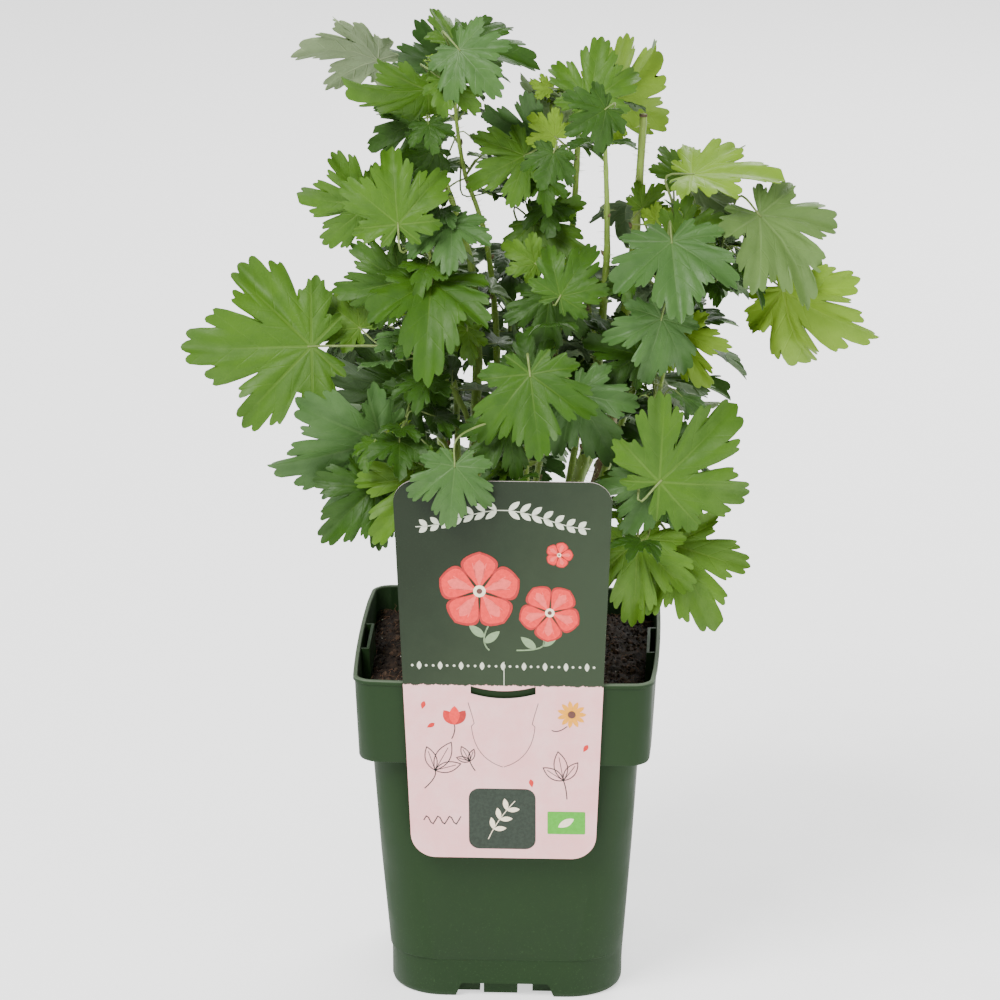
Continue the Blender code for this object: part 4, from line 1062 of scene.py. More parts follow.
def lobe_reach(u, teeth):
    """Share of a lobe's length at u, from -1 to 1 across it: three parts with round teeth."""
    a = np.abs(u)
    middle = 1 - 0.45 * a ** 2
    side = 0.845 - 0.6 * (a - 0.58) ** 2
    share = np.where(a < LOBE_CLEFT_AT, middle, side)
    share *= 1 - LOBE_CLEFT * np.exp(-((a - LOBE_CLEFT_AT) / 0.045) ** 2)
    share *= 1 - TOOTH_DEPTH * (1 - np.abs(np.cos(teeth * math.pi * u / 2)) ** 0.7)
    return share * (1 - SHOULDER_DROP * np.clip((a - 0.80) / 0.20, 0, 1) ** 2)


def blade_rim(chance, per_tooth):
    """The blade's edge for a midrib of length 1: turns from the midrib, reaches and lobes."""
    lobes, turns = [], []
    for axis, length, half, teeth in BLADE_LOBES:
        axis += chance.uniform(-2.5, 2.5)
        lobes.append((axis, length * chance.uniform(0.90, 1.0), half * chance.uniform(0.95, 1.05), teeth))
        parts = (np.arange(teeth)[:, None] + np.array(per_tooth)[None, :]).ravel()
        turns.append(axis + half * (2 * parts / teeth - 1))
    turns = np.sort(np.concatenate(turns + [[170.0, 176.0, 184.0, 190.0]]) % 360)
    keep = np.concatenate([[True], np.diff(turns) > 0.35])
    turns = turns[keep]
    turns = turns[:len(turns) // 4 * 4]
    turns = (turns + 180) % 360 - 180
    reach = np.full_like(turns, SINUS_FLOOR)
    reach[np.abs(turns) > BASE_TURN] = NOTCH_FLOOR
    for axis, length, half, teeth in lobes:
        u = ((turns - axis + 180) % 360 - 180) / half
        reach = np.maximum(reach, np.where(np.abs(u) <= 1, length * lobe_reach(np.clip(u, -1, 1), teeth), 0))
    return turns, reach, lobes


def blade_sheet(chance, per_tooth, shares):
    """A blade's flat points in rings from the edge inwards, each ring with half as many points
    as the one outside it, and how far each point is lifted."""
    turns, reach, lobes = blade_rim(chance, per_tooth)
    rings, step = [], 1
    for share in shares:
        angle = np.radians(turns[::step])
        radius = reach[::step] * share
        rings.append((angle, radius, np.full_like(radius, share)))
        step = min(step * 2, 4)
    spread = np.concatenate([ring[0] for ring in rings] + [[0.0]])
    distance = np.concatenate([ring[1] for ring in rings] + [[0.0]])
    share = np.concatenate([ring[2] for ring in rings] + [[0.0]])
    flat = np.stack([distance * np.sin(spread), distance * np.cos(spread)], axis=1)
    lift = BLADE_FOLD * chance.uniform(0.4, 1.6) * np.abs(flat[:, 0])
    lift -= BLADE_DROOP * chance.uniform(0.8, 1.3) * distance ** 2
    wave = chance.uniform(0, 6.3)
    lift += WAVE_HEIGHT * np.sin(3 * spread + wave) * distance ** 2
    lift += WAVE_HEIGHT * 0.5 * np.sin(11 * spread + 2 * wave) * share ** 4 * distance
    for axis, _, half, _ in lobes:
        off = (np.degrees(spread) - axis + 180) % 360 - 180
        near = np.exp(-(off / half) ** 2)
        across = np.abs(np.sin(np.radians(off))) * distance
        ridge = np.sin(np.clip(np.abs(off) / half, 0, 1) * math.pi)
        lift += near * (LOBE_FOLD * chance.uniform(0.2, 1.6) * across + QUILT_HEIGHT * ridge * distance)
        lift += chance.uniform(*LOBE_BEND) * near * np.clip(distance - 0.35, 0, 1) ** 1.5
    return flat, lift, [len(ring[0]) for ring in rings]


def blade_shape(chance, frame_of, size, per_tooth, shares, thickness=LEAF_THICKNESS):
    """One closed thin blade: points, triangles, its sheet places, slots and edge marks."""
    flat, lift, counts = blade_sheet(chance, per_tooth, shares)
    local = np.column_stack([flat * size, lift * size, np.ones(len(flat))])
    matrix = np.array(frame_of)
    top = (local @ matrix.T)[:, :3]
    bottom = top - matrix[:3, 2] * thickness
    count, faces, start = len(flat), [], 0
    for outer, inner in zip(counts, counts[1:]):
        low = start + outer
        k = np.arange(inner)
        m = (k + 1) % inner
        if inner == outer:
            faces.append(np.column_stack([low + k, start + m, start + k]))
            faces.append(np.column_stack([low + k, low + m, start + m]))
        else:
            near, half, far = start + 2 * k, start + 2 * k + 1, start + (2 * k + 2) % outer
            faces.append(np.column_stack([low + k, half, near]))
            faces.append(np.column_stack([low + k, far, half]))
            faces.append(np.column_stack([low + k, low + m, far]))
        start = low
    k = np.arange(counts[-1])
    m = (k + 1) % counts[-1]
    faces.append(np.column_stack([np.full(counts[-1], count - 1), start + m, start + k]))
    upper = np.concatenate(faces)
    lower = upper[:, ::-1] + count
    k = np.arange(counts[0])
    m = (k + 1) % counts[0]
    rim = np.concatenate([np.column_stack([k, m, m + count]), np.column_stack([k, m + count, k + count])])
    crease = np.zeros(count * 2, int)
    crease[:counts[0]] = 1
    crease[count:count + counts[0]] = 2
    slots = np.concatenate([np.zeros(len(upper), int), np.ones(len(lower), int), np.zeros(len(rim), int)])
    points, faces = np.concatenate([top, bottom]), np.concatenate([upper, lower, rim])
    return points, faces, np.tile(flat, (2, 1)), slots, crease


# The bush

def node_tree(name):
    """A search tree of one of the frame's solids, in millimetres."""
    node = frame["nodes"][name]
    points = [node.matrix_world @ v.co / MM for v in node.data.vertices]
    return tree_of(points, [tuple(p.vertices) for p in node.data.polygons])


def grow_bush():
    """The limbs' routes, the masses' stems and all their leaves."""
    routes, limbs = {}, {limb.name: limb for limb in LIMBS}
    trees = {name: node_tree(name) for name in ("pot", "compost", "label", "stem_base")}
    for limb in LIMBS:
        routes[limb.name] = limb_route(limb, routes, trees)
        trees[limb.name] = node_tree(limb.name)
    crown = Bush(list(trees.values()))
    stems = {}
    for mass in MASSES:
        stem, radius = mass_stem(mass, limbs[mass.limb], routes[mass.limb])
        stems[mass.name] = stem
        crown.stems[mass.name] = guard_tree(stem, radius, MASS_STEM_TIP_RADIUS)
    for place_leaves in (place_shown_leaves, place_rule_leaves):
        for mass in MASSES:
            place_leaves(crown, mass, stems[mass.name])
    crown.hang_backdrop()
    for mass in MASSES:
        place_rule_leaves(crown, mass, stems[mass.name], fine=True)
    return routes, stems, crown


def wood_shape(route, thick, thin, seed, rough):
    """A tapered stem that swells at its buds and is faintly ribbed."""
    path = evenly(route, WOOD_STEP)
    chance = random.Random(seed)
    phases = [chance.uniform(0, 6.3) for _ in range(3)]
    first_bud = chance.uniform(4, 9)

    def radius(i):
        share = i / max(1, len(path) - 1)
        run = i * WOOD_STEP
        to_bud = (run - first_bud + BUD_SPACING / 2) % BUD_SPACING - BUD_SPACING / 2
        swell = 1 + BUD_SWELL * math.exp(-(to_bud / 1.8) ** 2)
        base = (thick + (thin - thick) * share) * swell
        row = []
        for k in range(WOOD_SIDES):
            turn = 2 * math.pi * k / WOOD_SIDES
            ribs = math.sin(3 * turn + phases[0] + run * 0.02)
            ribs += 0.7 * math.sin(5 * turn + phases[1] - run * 0.05)
            lump = noise.noise(Vector((math.cos(turn) * 1.3, math.sin(turn) * 1.3, run * 0.22 + phases[2])))
            row.append(base * (1 + rough * (0.45 * ribs + 1.2 * lump)))
        return row

    return tube_shape(path, radius, WOOD_SIDES)


def draw_wood(routes, stems):
    """Each cane or shoot in one run with the mass's stem beyond its tip, sunk into what bears it."""
    green, brown, runs = Joined(), Joined(), []
    stem_from = {mass.limb: stems[mass.name] for mass in MASSES}
    for number, limb in enumerate(LIMBS):
        foot, second = routes[limb.name][:2]
        route = [foot + (foot - second).normalized() * SUNK, *routes[limb.name]]
        thin = limb.thin
        if limb.name in stem_from:
            route += stem_from[limb.name][1:]
            thin = STEM_TIP_RADIUS
        gathered, rough = (brown, WOODY_ROUGH) if limb.name in WOODY_CANES else (green, GREEN_ROUGH)
        gathered.add(*wood_shape(route, limb.thick, thin, number, rough))
        runs.append((route, limb.thick, thin))
    return green, brown, runs


def draw_cut_ends(routes):
    """The pruned canes' flat tops: a dark rim of bark, pale wood and a darker pith."""
    rims, woods = Joined(), Joined()
    for name, radius in (("cane_cut_right", 1.5), ("shoot_cut_left", 1.25)):
        route = routes[name]
        tip, ahead = route[-1], (route[-1] - route[-2]).normalized()
        for gathered, reach, start, end in (
            (rims, radius + 0.28, -0.9, 0.10), (woods, radius - 0.12, -0.2, 0.22), (rims, 0.38, 0.0, 0.30),
        ):
            path = [tip + ahead * (start + (end - start) * i / 3) for i in range(4)]
            gathered.add(*tube_shape(path, lambda i, r=reach: [r] * WOOD_SIDES, WOOD_SIDES))
    return rims, woods


def side_of(along, turn):
    """A direction square to this one, turned about it."""
    side = along.orthogonal().normalized()
    side.rotate(Matrix.Rotation(turn, 3, along))
    return side


def draw_buds(runs):
    """Small pointed buds on the swellings, each a turn round the wood from the last."""
    buds, chance = Joined(), random.Random(BUD_SEED)
    spacing = int(BUD_SPACING / WOOD_STEP)
    for route, thick, thin in runs:
        path = evenly(route, WOOD_STEP)
        turn = chance.uniform(0, 6.3)
        for i in range(spacing, len(path) - 2, spacing):
            turn += GOLDEN_TURN
            along = (path[i + 1] - path[i - 1]).normalized()
            side = side_of(along, turn)
            radius = thick + (thin - thick) * i / len(path)
            start = path[i] + side * radius * 0.6
            way = (along * 1.3 + side).normalized()
            length = chance.uniform(*BUD_LENGTH)
            bud = [start + way * length * t for t in (0, 0.25, 0.5, 0.75, 1)]
            shape = [w * length * 0.3 for w in (0.55, 0.95, 0.9, 0.55, 0.08)]
            buds.add(*tube_shape(bud, lambda k, s=shape: [s[k]] * 6, 6))
    return buds


def leaf_tone(chance, tone):
    """The tone from the table, or one drawn for a leaf that the table doesn't name."""
    if tone == "fine":
        return chance.choices(RULE_TONES, FINE_TONE_SHARES)[0]
    return tone or chance.choices(RULE_TONES, FILLER_TONE_SHARES)[0]


def draw_leaves(crown, stems):
    """The blades gathered by tone, and all their stalks."""
    blades = {tone: Joined() for tone in LEAF_COLOURS}
    stalks = Joined()
    chance = random.Random(LEAF_SEED)
    for grown in crown.grown.values():
        for frame_of, size, route, tone in grown:
            detail = (LARGE_TOOTH, LARGE_RINGS) if size > LARGE_FROM else (SMALL_TOOTH, SMALL_RINGS)
            blades[leaf_tone(chance, tone)].add(*blade_shape(chance, frame_of, size, *detail))
            path = evenly(smooth_route(route, 4), STALK_STEP)
            count = len(path)
            thick = min(STALK_THICK, 0.30 + size * 0.010)
            stalks.add(*tube_shape(
                path, lambda i, t=thick, n=count: [t * (1 - 0.35 * i / n)] * STALK_SIDES, STALK_SIDES
            ))
    for mass in MASSES:
        draw_tuft(chance, blades["young"], stalks, stems[mass.name])
    return blades, stalks


def draw_tuft(chance, blades, stalks, stem):
    """Folded young leaves round the tip of a stem."""
    tip, ahead = stem[-1], (stem[-1] - stem[-2]).normalized()
    turn = chance.uniform(0, 6.3)
    for _ in range(TUFT_LEAVES):
        turn += GOLDEN_TURN
        side = side_of(ahead, turn)
        way = (ahead + side * chance.uniform(0.3, 0.9)).normalized()
        foot = tip + way * chance.uniform(1.5, 4.5)
        size = chance.uniform(*TUFT_SIZE)
        placed = leaf_frame(foot, way + side * 0.4, ahead - side * 0.4)
        blades.add(*blade_shape(chance, placed, size, TUFT_TOOTH, TUFT_RINGS, TUFT_THICKNESS))
        path = [tip.lerp(foot, t) for t in (0, 0.5, 1)]
        stalks.add(*tube_shape(path, lambda i: [0.32 - 0.06 * i] * STALK_SIDES, STALK_SIDES))


def draw_stool():
    """The stool with its root flare, lumpy and split like old bark."""
    middle = stool_middle()
    foot = middle.z - STOOL_RISE
    low = [(STOOL_FLARE, foot), (STOOL_FLARE - 2.2, foot + 2), (STOOL_RADIUS + 0.4, foot + 5)]
    turned = [
        (STOOL_RADIUS * math.cos(math.radians(a)), middle.z + STOOL_RADIUS * math.sin(math.radians(a)))
        for a in (0, 22, 44, 66)
    ] + [(0.4, middle.z + STOOL_RADIUS)]
    profile = evenly([Vector((r, 0, z)) for r, z in low + turned], 0.8)

    def radius(i):
        row = []
        for k in range(STOOL_SIDES):
            turn = 2 * math.pi * k / STOOL_SIDES
            place = Vector((math.cos(turn) * 7, math.sin(turn) * 7, profile[i].z * 0.35))
            split = abs(noise.noise(place)) * 0.10 + noise.noise(place * 2.6) * 0.05
            row.append(profile[i].x * (0.97 - split))
        return row

    axis = [Vector((0, 0, p.z + 0.001 * i)) for i, p in enumerate(profile)]
    stool = Joined()
    stool.add(*tube_shape(axis, radius, STOOL_SIDES))
    return stool


# Many small things

STREWN_INPUTS = (
    ("Surface", "Geometry"), ("Shape", "Object"), ("Density", "Float"), ("Smallest", "Float"),
    ("Largest", "Float"), ("Tilt", "Float"), ("Seed", "Int"), ("Finish", "Material"),
)
STREWN_NODES = {
    "given": ("NodeGroupInput", {}),
    "result": ("NodeGroupOutput", {}),
    "points": ("GeometryNodeDistributePointsOnFaces", {}),
    "shape": ("GeometryNodeObjectInfo", {}),
    "away": ("ShaderNodeMath", {"operation": "MULTIPLY"}),
    "sway": ("FunctionNodeRandomValue", {"data_type": "FLOAT_VECTOR"}),
    "lean": ("FunctionNodeRotateRotation", {"rotation_space": "LOCAL"}),
    "size": ("FunctionNodeRandomValue", {"data_type": "FLOAT"}),
    "copies": ("GeometryNodeInstanceOnPoints", {}),
    "real": ("GeometryNodeRealizeInstances", {}),
    "coloured": ("GeometryNodeSetMaterial", {}),
}
# From a node's output to another node's input
STREWN_LINKS = """
given.Surface points.Mesh
given.Density points.Density
given.Seed points.Seed
given.Shape shape.Object
given.Tilt away.Value
away.Value sway.Min
given.Tilt sway.Max
given.Seed sway.Seed
points.Rotation lean.Rotation
sway.Value lean.Rotate_By
given.Smallest size.Min
given.Largest size.Max
given.Seed size.Seed
points.Points copies.Points
shape.Geometry copies.Instance
lean.Rotation copies.Rotation
size.Value copies.Scale
copies.Instances real.Geometry
real.Geometry coloured.Geometry
given.Finish coloured.Material
coloured.Geometry result.Strewn
"""


def scatter_tree():
    """Copies of one shape strewn over a surface, standing out of it by its own normals."""
    tree = bpy.data.node_groups.new("strewn", "GeometryNodeTree")
    sockets, nodes = {}, {}
    for name, kind in STREWN_INPUTS:
        socket = tree.interface.new_socket(name, in_out="INPUT", socket_type="NodeSocket" + kind)
        sockets[name] = socket.identifier
    tree.interface.new_socket("Strewn", in_out="OUTPUT", socket_type="NodeSocketGeometry")
    for name, (kind, settings) in STREWN_NODES.items():
        nodes[name] = tree.nodes.new(kind)
        for setting, value in settings.items():
            setattr(nodes[name], setting, value)
    nodes["away"].inputs[1].default_value = -1.0
    for row in STREWN_LINKS.strip().splitlines():
        (start, out), (end, into) = (part.replace("_", " ").split(".") for part in row.split())
        tree.links.new(open_socket(nodes[start].outputs, out), open_socket(nodes[end].inputs, into))
    return tree, sockets


def open_socket(sockets, name):
    """The first socket of this name that the node uses as it is set."""
    return next(socket for socket in sockets if socket.name == name and socket.enabled)


def strew(strewn, name, surface, shape, density, sizes, tilt, seed, finish):
    """A mesh of copies of the shape, from the smallest to the largest size in millimetres, over
    the surface object. density is for a square metre."""
    tree, sockets = strewn
    made = bpy.data.objects.new(name, surface.data.copy())
    bpy.context.scene.collection.objects.link(made)
    modifier = made.modifiers.new("strewn", "NODES")
    modifier.node_group = tree
    smallest, largest = (size * MM for size in sizes)
    values = (shape, density, smallest, largest, tilt, seed, finish)
    for (socket, _), value in zip(STREWN_INPUTS[1:], values):
        modifier[sockets[socket]] = value
    plain_mesh(made)
    made.data.name = name
    shade(made, 50)
    return made


def shape_to_copy(name, mesh):
    """An object that is only there to be copied."""
    made = bpy.data.objects.new(name, mesh)
    bpy.context.scene.collection.objects.link(made)
    return made


def crumb(name, seed):
    """A lumpy grain of unit size."""
    mesh = bpy.data.meshes.new(name)
    shaped = bmesh.new()
    bmesh.ops.create_icosphere(shaped, subdivisions=1, radius=1.0)
    for vert in shaped.verts:
        vert.co *= 0.8 + 0.5 * noise.noise(vert.co * 1.3 + Vector((seed, 0, 0)))
        vert.co.z *= 0.75
    shaped.to_mesh(mesh)
    shaped.free()
    return shape_to_copy(name, mesh)


def hair(name, path, thick, taper, sides):
    """A tapering hair along a path about one unit long."""
    points, faces = tube_shape(path, lambda i: [thick - taper * i] * sides, sides)
    mesh = bpy.data.meshes.new(name)
    mesh.from_pydata([tuple(p) for p in points], [], faces)
    return shape_to_copy(name, mesh)


def fibre(name):
    """A bent root hair that lies almost flat."""
    path = [(0.5 * t, 0.16 * math.sin(3 * t), 0.02 + 0.10 * math.sin(2.2 * t)) for t in (0, 0.5, 1, 1.5, 2)]
    return hair(name, path, 0.022, 0.003, 4)


def bristle(name):
    """A stiff hair that stands upright."""
    return hair(name, [(0.02 * i * i, 0, -0.08 + 0.36 * i) for i in range(4)], 0.046, 0.013, 3)


# The pot and what it holds

def mesh_object(name, points, faces, finish=None):
    """An object from points in millimetres, its faces turned outwards."""
    mesh = bpy.data.meshes.new(name)
    mesh.from_pydata([Vector(p) * MM for p in points], [], faces)
    shaped = bmesh.new()
    shaped.from_mesh(mesh)
    bmesh.ops.recalc_face_normals(shaped, faces=shaped.faces)
    shaped.to_mesh(mesh)
    shaped.free()
    if finish:
        mesh.materials.append(finish)
    made = bpy.data.objects.new(name, mesh)
    bpy.context.scene.collection.objects.link(made)
    return made


def round_walls(count, levels=2):
    """Four-sided faces between level rings of equally many points."""
    return [
        (low + i, low + (i + 1) % count, low + count + (i + 1) % count, low + count + i)
        for low in range(0, (levels - 1) * count, count) for i in range(count)
    ]


def loft(name, rings, finish=None):
    """A closed skin over rings of equally many points, with a flat face on each end."""
    count = len(rings[0])
    last = (len(rings) - 1) * count
    faces = [tuple(range(count)), tuple(range(last, last + count)), *round_walls(count, len(rings))]
    return mesh_object(name, [p for ring in rings for p in ring], faces, finish)


def square_ring(height, half, corner, bow=0.0):
    """A level rounded square. bow pushes the middle of each side out in a soft curve."""
    ring, flat = [], half - corner
    turns = [math.pi / 2 * step / CORNER_STEPS for step in range(CORNER_STEPS + 1)]
    side = [Vector((half, -flat + 2 * flat * i / SIDE_STEPS, 0)) for i in range(1, SIDE_STEPS)]
    side += [Vector((flat, flat, 0)) + Vector((math.cos(a), math.sin(a), 0)) * corner for a in turns]
    for quarter in range(4):
        turned = Matrix.Rotation(quarter * math.pi / 2, 3, "Z")
        for point in side:
            share = max(0.0, 1 - (point.y / half) ** 2) if point.x > abs(point.y) else 0
            place = turned @ (point + Vector((bow * share, 0, 0)))
            ring.append((place.x, place.y, height))
    return ring


def carve(target, cutter, operation="DIFFERENCE"):
    """Cuts or joins now, and removes the cutter."""
    modifier = target.modifiers.new(cutter.name, "BOOLEAN")
    modifier.operation = operation
    modifier.object = cutter
    plain_mesh(target)
    bpy.data.objects.remove(cutter, do_unlink=True)


def shade(made, angle=35):
    """Smooth shading, with edges sharper than this angle kept crisp."""
    mesh = made.data
    mesh.polygons.foreach_set("use_smooth", [True] * len(mesh.polygons))
    marked = bmesh.new()
    marked.from_mesh(mesh)
    for edge in marked.edges:
        edge.smooth = len(edge.link_faces) == 2 and edge.calc_face_angle() < math.radians(angle)
    marked.to_mesh(mesh)
    marked.free()
    mesh.update()


def make_pot():
    """Foot band, tapered body, a shelf out to the collar and the beaded rim, then down inside."""
    foot, body, collar, rim = FOOT_HALF, BODY_TOP_HALF, COLLAR_FOOT_HALF, RIM_HALF
    inside, mid_bow, edge = rim - WALL - RIM_BEAD_PROUD, SIDE_BOW / 2, SHELF_ROUND
    profile = (
        (0, foot - 2, 23),
        (0.8, foot - 1.2, 23.6),
        (2.5, foot - 0.6, 24),
        (FOOT_BAND_HEIGHT, foot - 0.6, 23),
        (FOOT_BAND_HEIGHT + 0.8, foot, 22),
        ((FOOT_BAND_HEIGHT + SHELF) / 2, (foot + body) / 2 + 0.2, 17, SIDE_BOW / 3),
        (SHELF, body, 12, mid_bow),
        (SHELF, collar - edge, 8, mid_bow),
        (SHELF + edge * 0.3, collar - edge * 0.3, 8.7, mid_bow),
        (SHELF + edge, collar, 9, mid_bow),
        (POT_HEIGHT - RIM_BEAD_HEIGHT, rim - RIM_BEAD_PROUD, 8, SIDE_BOW),
        (POT_HEIGHT - RIM_BEAD_HEIGHT + 0.4, rim, 8.5, SIDE_BOW),
        (POT_HEIGHT - 0.3, rim, 8.5, SIDE_BOW),
        (POT_HEIGHT, rim - 0.3, 8.3, SIDE_BOW),
        (POT_HEIGHT, inside + 0.3, 6.9, SIDE_BOW),
        (POT_HEIGHT - 0.4, inside, 6.6, SIDE_BOW),
        (SHELF + WALL, collar - WALL, 7.8, mid_bow),
        (SHELF + WALL, body - WALL, 10.8, mid_bow),
        (FLOOR_TOP, foot - WALL - 0.6, 21),
    )
    plastic = plastic_finish("pot_green", POT_GREEN, POT_WORN)
    made = loft("pot_body", [square_ring(*row) for row in profile], plastic)
    carve(made, loft("recess", [square_ring(-1, foot - 6, 19), square_ring(FLOOR_BOTTOM, foot - 5, 18)]))
    low, high, top = DRAIN_SLOT_WIDTH / 2, DRAIN_SLOT_WIDTH / 2 - 3, DRAIN_SLOT_HEIGHT
    right = [(low, -1), (high + 0.6, top - 0.8), (high - 0.4, top)]
    slot = [(-low, -1), *right, *[(-x, z) for x, z in right[:0:-1]]]
    for turn in (0, math.pi / 2):
        spin = Matrix.Rotation(turn, 3, "Z")
        ends = [[tuple(spin @ Vector((x, y, z))) for x, z in slot] for y in (-RIM_WIDTH, RIM_WIDTH)]
        carve(made, loft("slot", ends))
    bpy.ops.mesh.primitive_cylinder_add(
        vertices=48, radius=FOOT_BOSS_RADIUS * MM, depth=8 * MM, location=(0, 0, 4 * MM)
    )
    carve(made, bpy.context.object, "UNION")
    shade(made)
    return made


def add_prism(gathered, first, second, cap):
    """A closed solid between two outlines, of which the first is anticlockwise when seen from the
    second. cap gives the triangles that close the first one."""
    count = len(first)
    faces = list(cap) + [tuple(i + count for i in face[::-1]) for face in cap]
    for a, b, c, d in round_walls(count):
        faces += [(a, b, c), (a, c, d)]
    gathered.add([tuple(point) for point in (*first, *second)], faces)


def make_rim_slots():
    """The narrow loop on the inside of each side wall, seen from above beside the compost."""
    front, back = SLOT_ENDS
    wall = RIM_HALF - WALL - RIM_BEAD_PROUD + SIDE_BOW * 0.8
    out, near, start, end = wall - SLOT_OUT, wall - SLOT_OUT + SLOT_WALL, front + SLOT_WALL, back - SLOT_WALL
    corners = [(wall, front), (out, front), (out, back), (wall, back)]
    corners += [(wall, end), (near, end), (near, start), (wall, start)]
    cap = [(6, 1, 0), (7, 6, 0), (5, 2, 1), (6, 5, 1), (4, 3, 2), (5, 4, 2)]
    slots = Joined()
    for side in (-1, 1):
        upper = [(side * x, y, POT_HEIGHT - 0.8) for x, y in corners]
        lower = [(side * (x - 0.7), y, POT_HEIGHT - COMPOST_EDGE_DROP - 2) for x, y in corners]
        add_prism(slots, *(upper, lower)[::side], cap)
    return slots


def make_foot_ribs():
    """The short ribs that stand under the floor behind each drain slot."""
    ribs = Joined()
    for quarter in range(4):
        turned = Matrix.Rotation(quarter * math.pi / 2, 3, "Z")
        for start, end, out in FOOT_RIBS:
            level = [(start, -out), (end, -out), (end, FOOT_RIB_DEEP - out), (start, FOOT_RIB_DEEP - out)]
            low, high = ([turned @ Vector((x, y, z)) for x, y in level] for z in (0.5, FLOOR_BOTTOM + 0.4))
            add_prism(ribs, low, high, [(0, 2, 1), (0, 3, 2)])
    return ribs


def compost_level(x, y):
    """Height of the compost: lumpy, higher at the back, and level round the stem."""
    base = POT_HEIGHT - COMPOST_EDGE_DROP + COMPOST_RISE
    slope = 2.5 * y / RIM_HALF
    dish = COMPOST_RISE * (max(abs(x), abs(y)) / RIM_HALF) ** 3
    lumpy = base + slope - dish + COMPOST_LUMP * noise.noise(Vector((x, y, 3)) * 0.07)
    away = min(1, max(0, (math.hypot(x, y) - CROWN_FLAT) / 4))
    return base + (lumpy - base) * away


def compost_crumbs(x, y, edge):
    """What the clods and crumbs add to the compost's height, less near the stem and the edge."""
    near = min(1, max(0, (edge - max(abs(x), abs(y))) / 3))
    at = Vector((x, y, 0))
    clods = noise.fractal(at * 0.17 + Vector((0, 0, 5)), 0.9, 2.1, 5)
    crumbs = abs(noise.noise(at * 0.75 + Vector((3, 1, 8)))) + 0.6 * abs(noise.noise(at * 1.7))
    stem = min(1, max(0.2, (math.hypot(x, y) - 12) / 6))
    return (1.3 * clods + 1.1 * crumbs) * stem - 0.9 - (1 - near) * 1.5


def make_compost(finish):
    """A crumbly surface over the fill."""
    edge_height = POT_HEIGHT - COMPOST_EDGE_DROP
    share = (edge_height - SHELF - WALL) / (COLLAR_HEIGHT - WALL)
    edge = COLLAR_FOOT_HALF - WALL + (RIM_HALF - RIM_BEAD_PROUD - COLLAR_FOOT_HALF) * share - GAP
    fill = loft("compost_fill", [square_ring(*row) for row in (
        (FLOOR_TOP + GAP, FOOT_HALF - WALL - 0.6 - GAP, 21),
        (SHELF + WALL + GAP, BODY_TOP_HALF - WALL - GAP, 10.8, SIDE_BOW / 2),
        (SHELF + WALL + GAP, COLLAR_FOOT_HALF - WALL - GAP, 7.8, SIDE_BOW / 2),
        (edge_height - 3, edge - 0.2, 7, SIDE_BOW / 2),
    )], finish)
    count = int(2 * edge / COMPOST_GRID)
    points, faces, index = [], [], {}
    for i in range(count + 1):
        for j in range(count + 1):
            x, y = (-edge + 2 * edge * k / count for k in (i, j))
            past = (max(0, abs(v) - edge + COMPOST_CORNER) for v in (x, y))
            if math.hypot(*past) <= COMPOST_CORNER + 0.01:
                index[i, j] = len(points)
                points.append((x, y, compost_level(x, y) + compost_crumbs(x, y, edge)))
    for i in range(count):
        for j in range(count):
            ring = [index.get(k) for k in ((i, j), (i + 1, j), (i + 1, j + 1), (i, j + 1))]
            if None not in ring:
                faces.append(ring)
    top = mesh_object("compost_top", points, faces, finish)
    shade(top, 80)
    return fill, top


def strew_compost(strewn, surface, soil):
    """Grains, darker and paler, root fibres and a few white grains, all on the one surface."""
    grain, lump, root = crumb("grain_a", 1), crumb("grain_b", 4), fibre("root_hair")
    brown, red, white = (speckled(name) for name in ("grain_brown", "root_fibre", "white_grain"))
    kinds = (
        ("compost_grains", grain, 160000, (0.35, 1.25), 3.1, 1, soil),
        ("compost_lumps", lump, 22000, (1.0, 2.3), 3.1, 2, brown),
        ("compost_fibres", root, 26000, (3.0, 7.5), 0.5, 3, red),
        ("white_grains", grain, 3600, (0.35, 0.7), 3.1, 4, white),
    )
    made = [strew(strewn, name, surface, *kind) for name, *kind in kinds]
    for shape in (grain, lump, root):
        bpy.data.objects.remove(shape, do_unlink=True)
    return made


# The label

def card_half(up):
    """Half the card's width at a height above the rim."""
    share = (up + CARD_BELOW_RIM) / (CARD_BELOW_RIM + CARD_ABOVE_RIM)
    return (CARD_FOOT_WIDTH + (CARD_TOP_WIDTH - CARD_FOOT_WIDTH) * share) / 2


# From the card's own place (across, up from the rim, forwards) to the pot's
CARD_FRONT = RIM_WIDTH / 2 + SIDE_BOW + GAP + CARD_THICKNESS / 2
CARD_TURN = Matrix.Rotation(math.pi / 2 + CARD_LEAN, 4, "X")
CARD_PLACE = Matrix.Translation((0, -CARD_FRONT, POT_HEIGHT)) @ CARD_TURN


def heading(aim):
    """The direction on a flat of an angle in degrees."""
    return Vector((math.cos(math.radians(aim)), math.sin(math.radians(aim))))


def aside(way):
    """The direction a quarter turn to the left of this one."""
    return Vector((-way.y, way.x))


def arc_points(middle, radius, start, end, steps):
    """Points on an arc, with angles in degrees."""
    angles = [math.radians(start + (end - start) * i / steps) for i in range(steps + 1)]
    return [(middle[0] + radius * math.cos(a), middle[1] + radius * math.sin(a)) for a in angles]


